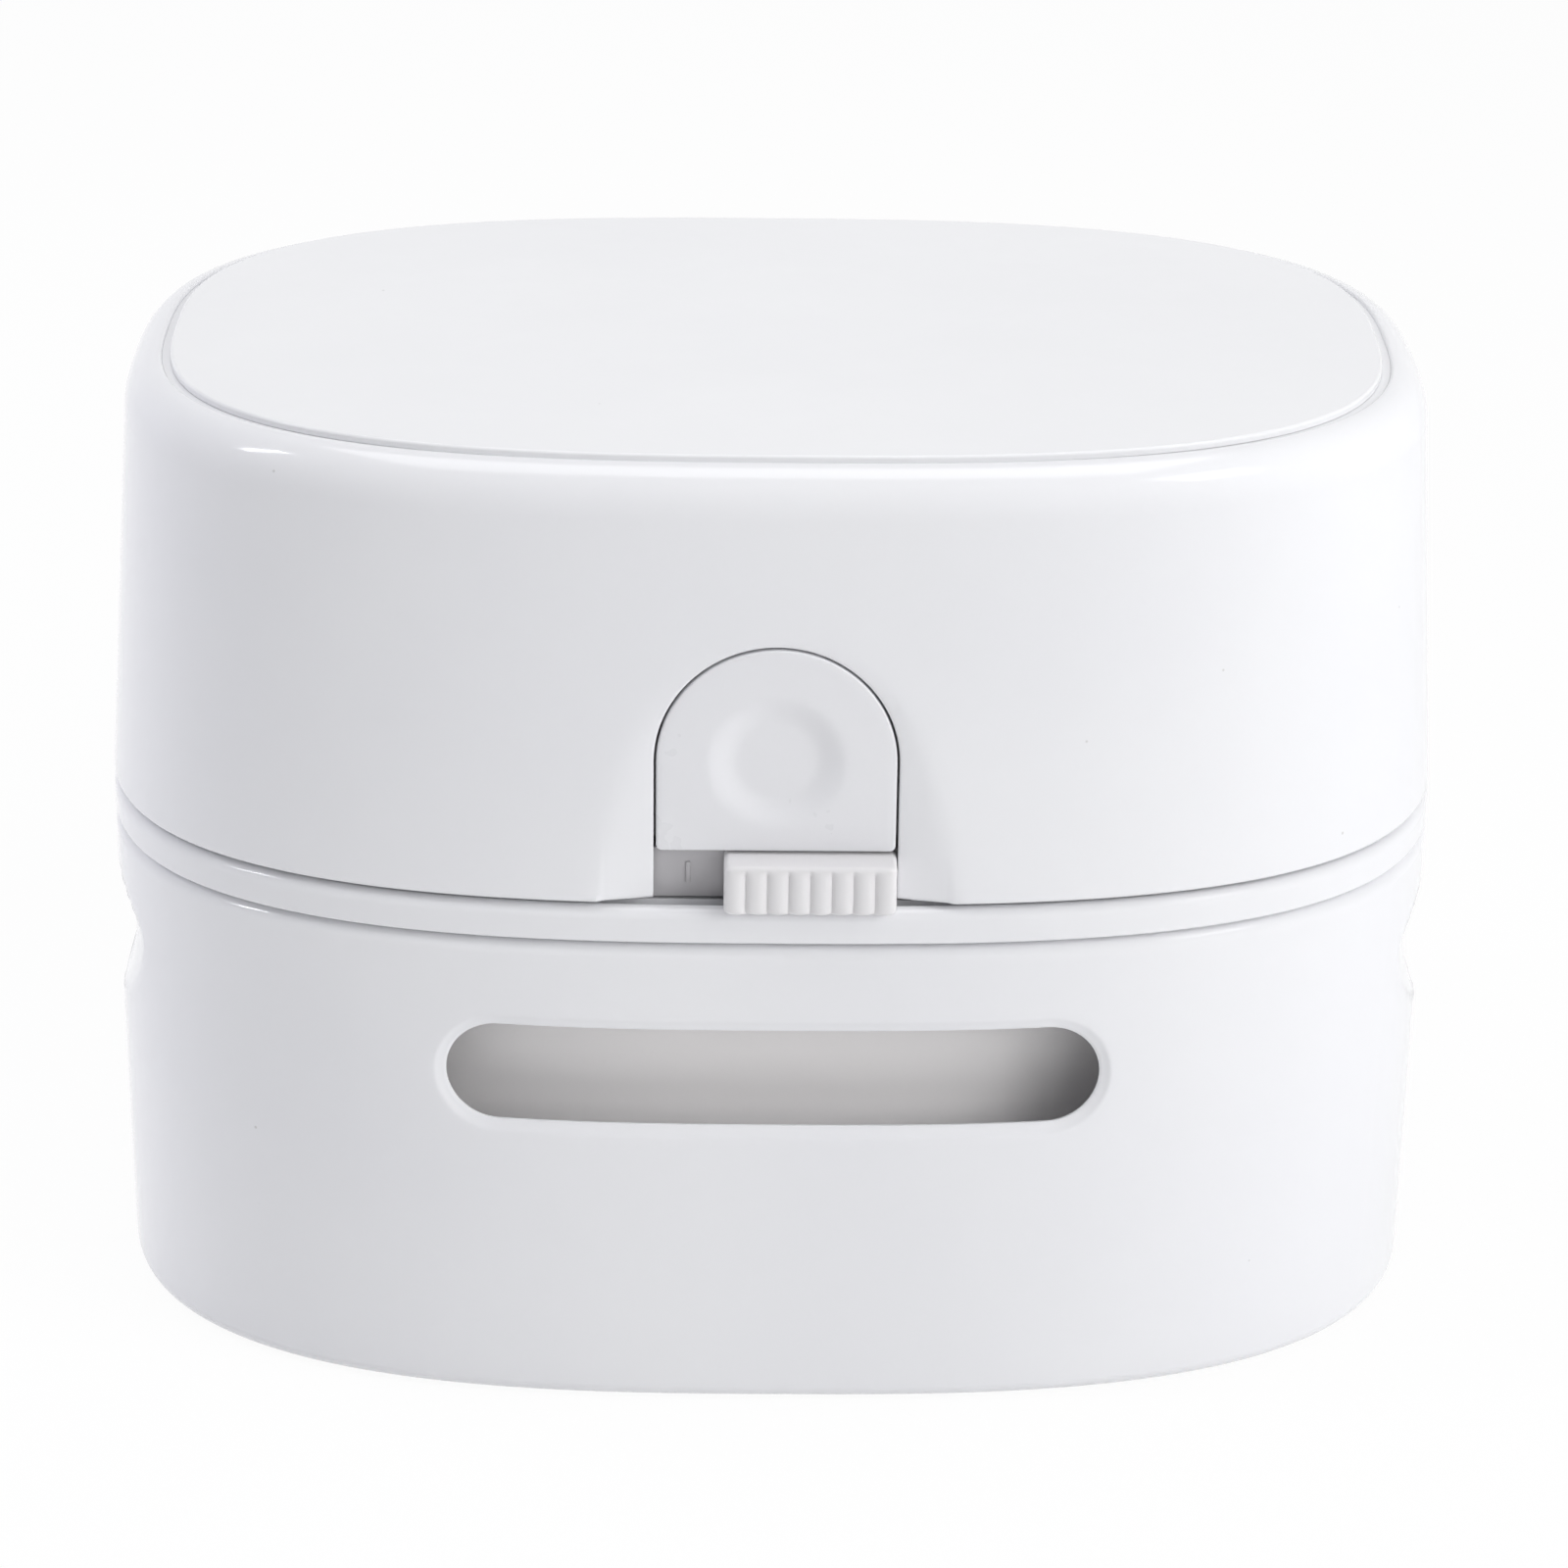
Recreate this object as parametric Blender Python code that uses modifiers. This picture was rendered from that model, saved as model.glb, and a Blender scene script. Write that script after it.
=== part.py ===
"""Desktop mini vacuum cleaner: an oval dust box below, a battery power unit latched on top of it.

Frame: metres, +Z up, the desk at z = 0, X along the width, the front (button, switch) towards -Y.
"""

import math

import bmesh
import bpy
from mathutils import Matrix, Vector

# Overall body
BODY_WIDTH = 0.116
BODY_DEPTH = 0.078
OUTLINE_POWER = 2.8
WALL = 0.002
SEAT_GAP = 0.0003
CUT_OVERRUN = 0.001
SHELL_SIDES = 56
INNER_SIDES = 44
ROUND_SIDES = 24
SMALL_SIDES = 12
ARC_STEPS = 3

# Lower housing (dust box)
LOWER_HEIGHT = 0.0433
LOWER_TAPER = 0.0003
BASE_ROUND = 0.0014
BASE_RIM_WALL = 0.0028
SEAM_ROUND = 0.0012
PLATE_SEAT_HEIGHT = 0.0042
PLATE_SEAT_THICKNESS = 0.0012
PLATE_SEAT_WIDTH = 0.0026
FAN_STAGE_HEIGHT = 0.0133
FILTER_STAGE_HEIGHT = 0.010
LEDGE_HEIGHT = LOWER_HEIGHT - FAN_STAGE_HEIGHT - FILTER_STAGE_HEIGHT
LEDGE_THICKNESS = 0.0014
LEDGE_REACH = 0.0095
GRIP_DROP = 0.0108
GRIP_HEIGHT = LOWER_HEIGHT - GRIP_DROP
GRIP_RISE = 0.0065
GRIP_HALF_LENGTH = 0.019
GRIP_DEPTH = 0.0024
GRIP_EDGE_POWER = 0.7

# Air slots in the front and rear of the lower housing
SLOT_LENGTH = 0.0548
SLOT_HEIGHT = 0.0086
SLOT_DROP = 0.0124
SLOT_CENTRE_HEIGHT = LOWER_HEIGHT - SLOT_DROP

# Base plate, nozzle and brush
PLATE_THICKNESS = 0.0018
NOZZLE_LENGTH = 0.034
NOZZLE_WIDTH = 0.014
NOZZLE_WALL = 0.0014
NOZZLE_HEADROOM = 0.0042
NOZZLE_FLANGE = 0.0016
NOZZLE_FLANGE_THICKNESS = 0.001
NOZZLE_SEGMENTS = 32
BRUSH_MARGIN = 0.0032
BRUSH_WIDTH = 0.0022
BRUSH_BACKING = 0.0009
BRUSH_GROUND_GAP = 0.0003
BRISTLE_ROWS = 2
BRISTLE_SIDES = 3
BRISTLES_PER_ROW = 156
BRISTLE_ROOT_RADIUS = 0.00026
BRISTLE_TIP_RADIUS = 0.00017
BRISTLE_SPLAY = 0.0004

# Dust seal between dust box and fan housing
GASKET_WIDTH = 0.0024
GASKET_THICKNESS = 0.001

# Chassis: the visible band between the two shells, and the deck inside it
BAND_HEIGHT = 0.0025
BAND_SHOULDER = 0.001
SHADOW_GAP = 0.0006
SPIGOT_WALL = 0.0018
SPIGOT_RISE = 0.0035
SKIRT_DROP = 0.0035
LATCH_CUT_CLEARANCE = 0.0012

# Upper housing
UPPER_HEIGHT = 0.0363
UPPER_TAPER = 0.0021
RIM_WIDTH = 0.0036
RIM_ROUND_HEIGHT = 0.0038
RIM_LIP = 0.0004
RECESS_DEPTH = 0.0023
FLOOR_THICKNESS = 0.002
CEILING_ROUND = 0.0015
BOSS_RADIUS = 0.003
BOSS_ROOM_SHARE = 0.2539
BOSS_REACH_Y = 0.014

# Top cover
COVER_GAP = 0.0006
COVER_RISE = 0.0009
COVER_THICKNESS = 0.0016
COVER_EDGE_ROUND = 0.0006
COVER_SKIRT = 0.0016
COVER_RIB_LENGTH = 0.03
COVER_RIB_WIDTH = 0.0012

# Release button in its arched notch
BUTTON_WIDTH = 0.0201
BUTTON_GAP = 0.00025
BUTTON_STRAIGHT = 0.00795
BUTTON_THICKNESS = 0.0023
BUTTON_FLANGE = 0.001
BUTTON_TRAVEL = 0.002
BUTTON_ARC_STEPS = 12
DISH_RADIUS = 0.0062
DISH_DEPTH = 0.0009
DISH_STEPS = 5
DISH_CUTTER_SHARE = 1.25
PUSHER_WIDTH = 0.005
PUSHER_HEIGHT = 0.003
NOTCH_BEVEL_GROWTH = 0.0041
NOTCH_BEVEL_DEPTH = 0.0024

# Button return spring
SPRING_RADIUS = 0.0024
SPRING_WIRE = 0.0005
SPRING_TURNS = 4
SPRING_TURN_POINTS = 9
SPRING_PIN_RADIUS = 0.0015
SPRING_PIN_LENGTH = 0.0022
SPRING_RISE = 0.0105
BRACKET_WIDTH = 0.009
BRACKET_THICKNESS = 0.0018

# Latch fork on the dust box
FORK_LEG_WIDTH = 0.003
FORK_LEG_REACH = 0.0102
FORK_THICKNESS = 0.0014
FORK_BAR_HEIGHT = 0.0036
FORK_BAR_RISE = 0.0018
FORK_TOOTH = 0.001
FORK_TOOTH_HEIGHT = 0.0016
CATCH_HEIGHT = 0.0032
CATCH_THICKNESS = 0.001
FORK_ROOT_HEIGHT = 0.0045

# Power switch
KNOB_WIDTH = 0.0144
KNOB_HEIGHT = 0.0044
KNOB_GAP = 0.00025
KNOB_PROUD = 0.0013
KNOB_RIBS = 8
KNOB_RIB_HEIGHT = 0.0004
KNOB_RIB_STEPS = 4
KNOB_STEM_WIDTH = 0.0022
KNOB_STEM_HEIGHT = 0.0022
PANEL_SETBACK = 0.0013
PANEL_THICKNESS = 0.001
PANEL_MARGIN = 0.0018
SWITCH_WIDTH = 0.0122
SWITCH_DEPTH = 0.0042
SWITCH_TRACK_DEPTH = 0.0022
LEG_WIDTH = 0.0008
LEG_LENGTH = 0.0024

# Motor, shaft and impeller
MOTOR_RADIUS = 0.01005
MOTOR_FLAT = 0.0151
MOTOR_LENGTH = 0.0235
MOTOR_NOSE_RADIUS = 0.003
MOTOR_NOSE_LENGTH = 0.0016
MOTOR_CAP_THICKNESS = 0.0028
MOTOR_COLLAR_WALL = 0.0014
MOTOR_COLLAR_HEIGHT = 0.006
SHAFT_RADIUS = 0.001
SHAFT_CLEARANCE = 0.0002
TERMINAL_WIDTH = 0.0018
TERMINAL_THICKNESS = 0.0005
TERMINAL_HEIGHT = 0.003
IMPELLER_WALL_ROOM = 0.0077
IMPELLER_DISC = 0.0012
IMPELLER_BLADE_HEIGHT = 0.0088
IMPELLER_BLADE_THICKNESS = 0.0011
IMPELLER_BLADE_COUNT = 9
IMPELLER_BLADE_STEPS = 5
IMPELLER_BLADE_ROOT = 0.0068
IMPELLER_HUB_RADIUS = 0.0045
IMPELLER_SWEEP = math.radians(48)
IMPELLER_DROP = 0.0012

# Fan housing and filter
FAN_HOUSING_INSET = 0.008
FAN_WALL = 0.0018
FAN_FLOOR_HEIGHT = LOWER_HEIGHT - FAN_STAGE_HEIGHT
FAN_FLOOR_THICKNESS = 0.0016
FAN_EYE_RADIUS = 0.0125
SCROLL_GAP = 0.0025
SCROLL_WALL = 0.0012
SCROLL_MOUTH = 0.016
EXHAUST_WIDTH = 0.026
EXHAUST_HEIGHT = 0.008
FAN_POST_RADIUS = 0.0028
FAN_POST_ROOM_SHARE = 0.4598
FILTER_FRAME_HEIGHT = 0.004
FILTER_FRAME_WALL = 0.0018
FILTER_GRID_THICKNESS = 0.0012
FILTER_CLOTH_THICKNESS = 0.0012
FILTER_SLOT_WIDTH = 0.0052
FILTER_SLOT_PITCH = 0.0072
FILTER_SLOT_COUNT = 11

# Two AA cells and their trays
CELL_RADIUS = 0.0071
CELL_END_ROOM = 0.0285
CELL_LENGTH = BODY_DEPTH - CELL_END_ROOM
CELL_NUB_RADIUS = 0.00275
CELL_NUB_LENGTH = 0.001
CELL_EDGE = 0.0006
CELL_ROOM_SHARE = 0.4736
CELL_CLEARANCE = 0.0004
TRAY_WALL = 0.0014
TRAY_FLOOR = 0.0014
CONTACT_THICKNESS = 0.0004
CONTACT_WIDTH = 0.009
CONTACT_HEIGHT = 0.010
CELL_SPRING_LENGTH = 0.0028
CELL_SPRING_WIRE = 0.0006
CELL_SPRING_RADIUS = 0.0036
CELL_SPRING_TIP = 0.0018
CELL_SPRING_TURNS = 3

# Screws
SCREW_RADIUS = 0.001
SCREW_LENGTH = 0.007
SCREW_HEAD_RADIUS = 0.002
SCREW_HEAD_HEIGHT = 0.0013
SCREW_HOLE_PLAY = 0.0002
SCREW_RECESS_RADIUS = 0.0008
SCREW_RECESS_DEPTH = 0.0006

# Levels and places that follow from the sizes above
SEAM_Z = LOWER_HEIGHT
BAND_Z = SEAM_Z + SEAT_GAP
DECK_Z = BAND_Z + BAND_HEIGHT
SHELL_Z = DECK_Z + SHADOW_GAP
RIM_Z = SHELL_Z + UPPER_HEIGHT
COVER_Z = RIM_Z + COVER_RISE
RECESS_Z = RIM_Z - RECESS_DEPTH
CEILING_Z = RECESS_Z - FLOOR_THICKNESS
RIM_INSET = UPPER_TAPER + RIM_WIDTH
HALF_WIDTH = BODY_WIDTH / 2
HALF_DEPTH = BODY_DEPTH / 2
PLATE_Z = PLATE_SEAT_HEIGHT + SEAT_GAP
PLATE_TOP_Z = PLATE_Z + PLATE_THICKNESS
NOZZLE_TOP_Z = LEDGE_HEIGHT - NOZZLE_HEADROOM
SKIRT_FOOT_Z = LEDGE_HEIGHT + GASKET_THICKNESS + 2 * SEAT_GAP
FAN_TOP_Z = BAND_Z - SEAT_GAP
KNOB_Z = DECK_Z + KNOB_GAP + KNOB_HEIGHT / 2
KNOB_TOP_Z = KNOB_Z + KNOB_HEIGHT / 2
BUTTON_FOOT_Z = KNOB_TOP_Z + KNOB_GAP
ARCH_RADIUS = BUTTON_WIDTH / 2
ARCH_Z = BUTTON_FOOT_Z + BUTTON_STRAIGHT
NOTCH_HALF_WIDTH = ARCH_RADIUS + BUTTON_GAP
KNOB_TRAVEL = 2 * NOTCH_HALF_WIDTH - KNOB_WIDTH - 2 * BUTTON_GAP
KNOB_X = NOTCH_HALF_WIDTH - BUTTON_GAP - KNOB_WIDTH / 2


def outline_reach(inset, y):
    """Half the width of the body's outline, moved inwards by inset, at a distance y from its middle."""
    share = abs(y) / (HALF_DEPTH - inset)
    return (HALF_WIDTH - inset) * (1 - share**OUTLINE_POWER) ** (1 / OUTLINE_POWER)


# Impeller, fan posts, cells and screw bosses share the room beside the motor
FAN_INNER_INSET = FAN_HOUSING_INSET + FAN_WALL
IMPELLER_RADIUS = HALF_DEPTH - FAN_INNER_INSET - IMPELLER_WALL_ROOM
SCROLL_REACH = IMPELLER_RADIUS + SCROLL_GAP + SCROLL_WALL
FAN_POST_ROOM = HALF_WIDTH - FAN_INNER_INSET - SCROLL_REACH - 2 * FAN_POST_RADIUS
FAN_POST_REACH = SCROLL_REACH + FAN_POST_RADIUS + FAN_POST_ROOM_SHARE * FAN_POST_ROOM
COLLAR_RADIUS = MOTOR_RADIUS + SEAT_GAP + MOTOR_COLLAR_WALL
TRAY_HALF_WIDTH = CELL_RADIUS + CELL_CLEARANCE + TRAY_WALL
SCREW_REACH = outline_reach(FAN_INNER_INSET, BOSS_REACH_Y + SCREW_HEAD_RADIUS) - SCREW_HEAD_RADIUS
CELL_ROOM = SCREW_REACH - COLLAR_RADIUS - 2 * TRAY_HALF_WIDTH - BOSS_RADIUS
CELL_SPACING = COLLAR_RADIUS + TRAY_HALF_WIDTH + CELL_ROOM_SHARE * CELL_ROOM
BOSS_REACH_X = CELL_SPACING + TRAY_HALF_WIDTH + BOSS_RADIUS + BOSS_ROOM_SHARE * CELL_ROOM


def lower_inset(z):
    """How far the lower housing's outer face lies inside the seam outline at height z."""
    return LOWER_TAPER * (SEAM_Z - z) / SEAM_Z


def upper_inset(z):
    """How far the upper housing's outer face lies inside the seam outline at height z."""
    return UPPER_TAPER * (z - SHELL_Z) / (RIM_Z - RIM_ROUND_HEIGHT - SHELL_Z)


FACE_Y = -(HALF_DEPTH - upper_inset(ARCH_Z + ARCH_RADIUS))
FLANGE_Y = FACE_Y + BUTTON_THICKNESS
FLANGE_BACK_Y = FLANGE_Y + BUTTON_FLANGE
FORK_Y = FLANGE_BACK_Y + 2 * SEAT_GAP
PANEL_Y = FACE_Y + PANEL_SETBACK
SWITCH_Y = PANEL_Y + PANEL_THICKNESS + SEAT_GAP
BRACKET_Y = SWITCH_Y + SWITCH_DEPTH + LEG_LENGTH + SEAT_GAP
SPRING_Z = BUTTON_FOOT_Z + SPRING_RISE
FORK_BAR_Z = BUTTON_FOOT_Z + FORK_BAR_RISE


def clear_scene():
    for obj in list(bpy.data.objects):
        bpy.data.objects.remove(obj)


def collection(name):
    made = bpy.data.collections.new(name)
    bpy.context.scene.collection.children.link(made)
    return made


clear_scene()
MODEL = collection("desktop_vacuum")
CUTTERS = collection("cutters")


def plastic(name, colour, roughness, metallic=0.0):
    made = bpy.data.materials.new(name)
    made.use_nodes = True
    shader = made.node_tree.nodes["Principled BSDF"]
    shader.inputs["Base Color"].default_value = (*colour, 1.0)
    shader.inputs["Roughness"].default_value = roughness
    shader.inputs["Metallic"].default_value = metallic
    return made


WHITE = plastic("white_gloss_plastic", (0.86, 0.86, 0.88), 0.22)
KNOB_WHITE = plastic("white_knob_plastic", (0.9, 0.9, 0.9), 0.35)
GREY = plastic("grey_inner_plastic", (0.62, 0.6, 0.6), 0.4)
RUBBER = plastic("grey_rubber", (0.25, 0.25, 0.26), 0.7)
BRISTLE = plastic("nylon_bristle", (0.55, 0.56, 0.58), 0.5)
STEEL = plastic("steel", (0.62, 0.63, 0.65), 0.3, 1.0)
NICKEL = plastic("nickel_contact", (0.7, 0.69, 0.66), 0.25, 1.0)
CLOTH = plastic("filter_cloth", (0.8, 0.82, 0.84), 0.9)
CELL_SLEEVE = plastic("cell_sleeve", (0.12, 0.3, 0.2), 0.35)


def add_object(name, mesh, material=None, group=None):
    obj = bpy.data.objects.new(name, mesh)
    (group or MODEL).objects.link(obj)
    if material:
        obj.data.materials.clear()
        obj.data.materials.append(material)
    return obj


def as_cutter(obj):
    """A helper for a Boolean: kept out of the model and drawn as wire."""
    for group in obj.users_collection:
        group.objects.unlink(obj)
    CUTTERS.objects.link(obj)
    obj.hide_render = True
    obj.display_type = "WIRE"
    return obj


def boolean(target, other, operation="DIFFERENCE"):
    modifier = target.modifiers.new(operation.lower(), "BOOLEAN")
    modifier.operation = operation
    modifier.object = as_cutter(other)
    return target


def smooth(obj, angle=math.radians(35)):
    obj.data.shade_smooth()
    obj.data.set_sharp_from_angle(angle=angle)
    return obj


def arc(centre, radii, start, end, steps=ARC_STEPS):
    """Points of an elliptical arc in (inset, z), both ends included; angles in degrees."""
    points = []
    for step in range(steps + 1):
        angle = math.radians(start + (end - start) * step / steps)
        points.append(
            (centre[0] + radii[0] * math.cos(angle), centre[1] + radii[1] * math.sin(angle))
        )
    return points


def oval_ring(inset, z, sides):
    """One ring of the body's superellipse outline, moved inwards by inset."""
    ring = []
    for side in range(sides):
        turn = 2 * math.pi * side / sides
        cosine, sine = math.cos(turn), math.sin(turn)
        x = math.copysign(abs(cosine) ** (2 / OUTLINE_POWER), cosine)
        y = math.copysign(abs(sine) ** (2 / OUTLINE_POWER), sine)
        ring.append(Vector((x * (HALF_WIDTH - inset), y * (HALF_DEPTH - inset), z)))
    return ring


def loft(name, rings, material, closed=False):
    """Skins rings of equal count; an open loft is capped at both ends, a closed one joins them."""
    shape = bmesh.new()
    loops = [[shape.verts.new(point) for point in ring] for ring in rings]
    pairs = list(zip(loops, loops[1:]))
    if closed:
        pairs.append((loops[-1], loops[0]))
    count = len(loops[0])
    for low, high in pairs:
        for i in range(count):
            j = (i + 1) % count
            shape.faces.new((low[i], low[j], high[j], high[i]))
    if not closed:
        shape.faces.new(loops[0])
        shape.faces.new(loops[-1])
    bmesh.ops.recalc_face_normals(shape, faces=shape.faces)
    mesh = bpy.data.meshes.new(name)
    shape.to_mesh(mesh)
    shape.free()
    return smooth(add_object(name, mesh, material))


def oval_loft(name, profile, material, sides=SHELL_SIDES, closed=False):
    return loft(name, [oval_ring(inset, z, sides) for inset, z in profile], material, closed)


def box(name, low, high, material=None):
    """A box between two corners, from a primitive cube."""
    shape = bmesh.new()
    bmesh.ops.create_cube(shape, size=1)
    size = Vector(high) - Vector(low)
    middle = (Vector(high) + Vector(low)) / 2
    bmesh.ops.scale(shape, vec=size, verts=shape.verts)
    bmesh.ops.translate(shape, vec=middle, verts=shape.verts)
    mesh = bpy.data.meshes.new(name)
    shape.to_mesh(mesh)
    shape.free()
    return add_object(name, mesh, material)


def cylinder(name, radius, low, high, material=None, sides=ROUND_SIDES, tip_radius=None):
    """A cylinder or cone from point low to point high."""
    low, high = Vector(low), Vector(high)
    shape = bmesh.new()
    bmesh.ops.create_cone(
        shape,
        cap_ends=True,
        segments=sides,
        radius1=radius,
        radius2=radius if tip_radius is None else tip_radius,
        depth=(high - low).length,
    )
    turn = (high - low).to_track_quat("Z", "Y").to_matrix().to_4x4()
    bmesh.ops.transform(shape, matrix=turn, verts=shape.verts)
    bmesh.ops.translate(shape, vec=(low + high) / 2, verts=shape.verts)
    mesh = bpy.data.meshes.new(name)
    shape.to_mesh(mesh)
    shape.free()
    return smooth(add_object(name, mesh, material))


def outline_prism(name, outline, start, end, axis, material=None, grow=0.0):
    """A flat outline carried from start to end along Y or Z; grow widens it all round on the way."""
    centre = Vector((0, 0))
    for point in outline:
        centre += Vector(point) / len(outline)
    rings = []
    for level, growth in ((start, 0.0), (end, grow)):
        ring = []
        for i, point in enumerate(outline):
            before, after = Vector(outline[i - 1]), Vector(outline[(i + 1) % len(outline)])
            along = (after - before).normalized()
            outward = Vector((along.y, -along.x))
            if outward.dot(Vector(point) - centre) < 0:
                outward = -outward
            u, v = Vector(point) + outward * growth
            ring.append(Vector((u, level, v)) if axis == "Y" else Vector((u, v, level)))
        rings.append(ring)
    return loft(name, rings, material)


def stadium(length, width, segments):
    """A slot outline with round ends, centred on the origin."""
    radius, reach = width / 2, (length - width) / 2
    points = []
    for step in range(segments):
        turn = 2 * math.pi * (step + 0.5) / segments
        side = math.copysign(reach, math.cos(turn))
        points.append((side + radius * math.cos(turn), radius * math.sin(turn)))
    return points


def arch(half_width, foot_z, arch_z):
    """The button's outline: a straight foot and sides, and a half round top, in (x, z)."""
    points = [(-half_width, foot_z), (half_width, foot_z)]
    for step in range(BUTTON_ARC_STEPS + 1):
        turn = math.pi * step / BUTTON_ARC_STEPS
        points.append((half_width * math.cos(turn), arch_z + half_width * math.sin(turn)))
    return points


def turned(name, profile, material, steps=ROUND_SIDES):
    """A profile of (radius, z), top to bottom on its outer side, turned about Z by a Screw modifier."""
    mesh = bpy.data.meshes.new(name)
    edges = [(i, i + 1) for i in range(len(profile) - 1)]
    mesh.from_pydata([(radius, 0, z) for radius, z in profile], edges, [])
    obj = add_object(name, mesh, material)
    screw = obj.modifiers.new("turn", "SCREW")
    screw.steps = steps
    screw.render_steps = steps
    screw.use_merge_vertices = True
    screw.merge_threshold = 1e-5
    screw.use_smooth_shade = True
    return obj


def tube(name, points, diameter, material, resolution=1):
    """A round wire or lead along points, as a poly curve with filled caps."""
    curve = bpy.data.curves.new(name, "CURVE")
    curve.dimensions = "3D"
    curve.bevel_depth = diameter / 2
    curve.bevel_resolution = resolution
    curve.use_fill_caps = True
    spline = curve.splines.new("POLY")
    spline.points.add(len(points) - 1)
    for point, place in zip(spline.points, points):
        point.co = (*place, 1)
    return add_object(name, curve, material)


def coil(name, radii, wire, turns, start, along, material):
    """A compression spring from start along a vector, its radius running from radii[0] to radii[1]."""
    start, along = Vector(start), Vector(along)
    side = Vector((0, 0, 1))
    other = along.normalized().cross(side)
    count = turns * SPRING_TURN_POINTS
    points = []
    for i in range(count + 1):
        share = i / count
        turn = 2 * math.pi * turns * share
        radius = radii[0] + (radii[1] - radii[0]) * share
        around = side * math.cos(turn) + other * math.sin(turn)
        points.append(start + along * share + around * radius)
    return tube(name, points, wire, material)


def grip_amount(y, z):
    """Depth of the oval finger scoop in the side wall at (y, z)."""
    inside = 1 - (y / GRIP_HALF_LENGTH) ** 2 - ((z - GRIP_HEIGHT) / GRIP_RISE) ** 2
    return GRIP_DEPTH * max(inside, 0.0) ** GRIP_EDGE_POWER


def build_lower_housing():
    """The dust box's shell: one wall profile carried round the oval, with finger scoops and air slots."""
    foot = lower_inset(BASE_ROUND)
    level_shares = (-1, -0.9, -0.55, 0, 0.55, 0.9, 1)
    scoop_levels = [GRIP_HEIGHT + share * GRIP_RISE for share in level_shares]
    outer = arc((foot + BASE_ROUND, BASE_ROUND), (BASE_ROUND, BASE_ROUND), 270, 180)
    outer += [(lower_inset(z), z) for z in scoop_levels]
    outer += arc((SEAM_ROUND, SEAM_Z - SEAM_ROUND), (SEAM_ROUND, SEAM_ROUND), 180, 90, 2)
    inner = [(lower_inset(z) + WALL, z) for z in (SEAM_Z, *scoop_levels[::-2])]
    ledge_foot = LEDGE_HEIGHT - LEDGE_THICKNESS
    inner += [
        (lower_inset(LEDGE_HEIGHT) + WALL, LEDGE_HEIGHT),
        (LEDGE_REACH, LEDGE_HEIGHT),
        (LEDGE_REACH, ledge_foot),
        (lower_inset(ledge_foot) + WALL, ledge_foot),
    ]
    seat_foot = PLATE_SEAT_HEIGHT - PLATE_SEAT_THICKNESS
    seat_wall = lower_inset(PLATE_SEAT_HEIGHT) + WALL
    rim_wall = foot + BASE_RIM_WALL
    inner += [
        (seat_wall, PLATE_SEAT_HEIGHT),
        (seat_wall + PLATE_SEAT_WIDTH, PLATE_SEAT_HEIGHT),
        (seat_wall + PLATE_SEAT_WIDTH, seat_foot),
        (rim_wall, seat_foot),
        (rim_wall, 0),
    ]
    rings = []
    for inset, z in outer + inner:
        ring = oval_ring(inset, z, SHELL_SIDES)
        for point in ring:
            point.x -= math.copysign(grip_amount(point.y, point.z), point.x)
        rings.append(ring)
    housing = loft("lower_housing", rings, WHITE, closed=True)
    slot = [
        (x, z + SLOT_CENTRE_HEIGHT) for x, z in stadium(SLOT_LENGTH, SLOT_HEIGHT, ROUND_SIDES)
    ]
    reach = HALF_DEPTH + CUT_OVERRUN
    cutter = outline_prism("air_slot_cutter", slot, -reach, reach, "Y")
    return boolean(housing, cutter)


def build_base_plate():
    edge = lower_inset(PLATE_Z) + WALL + SEAT_GAP
    plate = oval_loft(
        "base_plate", [(edge, PLATE_Z), (edge, PLATE_TOP_Z)], WHITE, INNER_SIDES
    )
    hole = stadium(
        NOZZLE_LENGTH + 2 * SEAT_GAP, NOZZLE_WIDTH + 2 * SEAT_GAP, NOZZLE_SEGMENTS
    )
    boolean(
        plate,
        outline_prism(
            "nozzle_hole", hole, PLATE_Z - CUT_OVERRUN, PLATE_TOP_Z + CUT_OVERRUN, "Z"
        ),
    )
    groove = ring_prism(
        "brush_groove",
        BRUSH_MARGIN - SEAT_GAP,
        BRUSH_WIDTH + 2 * SEAT_GAP,
        PLATE_Z - CUT_OVERRUN,
        PLATE_Z + BRUSH_BACKING + SEAT_GAP,
    )
    return boolean(plate, groove)


def ring_prism(name, margin, width, low, high, material=None):
    """A band of constant width round the nozzle, between two heights."""
    rings = []
    for growth, z in (
        (margin, low),
        (margin + width, low),
        (margin + width, high),
        (margin, high),
    ):
        outline = stadium(
            NOZZLE_LENGTH + 2 * growth, NOZZLE_WIDTH + 2 * growth, NOZZLE_SEGMENTS
        )
        rings.append([Vector((x, y, z)) for x, y in outline])
    return loft(name, rings, material, closed=True)


def build_nozzle():
    """The suction mouth: an oval chimney that keeps dust in the box, flanged under the plate."""
    flange_low = PLATE_Z - SEAT_GAP - NOZZLE_FLANGE_THICKNESS
    flange_high = PLATE_Z - SEAT_GAP
    top = NOZZLE_TOP_Z
    sections = [
        (-NOZZLE_WALL, flange_low),
        (NOZZLE_FLANGE, flange_low),
        (NOZZLE_FLANGE, flange_high),
        (0.0, flange_high),
        (0.0, top),
        (-NOZZLE_WALL, top),
    ]
    rings = []
    for growth, z in sections:
        outline = stadium(
            NOZZLE_LENGTH + 2 * growth, NOZZLE_WIDTH + 2 * growth, NOZZLE_SEGMENTS
        )
        rings.append([Vector((x, y, z)) for x, y in outline])
    return loft("inlet_nozzle", rings, GREY, closed=True)


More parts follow.
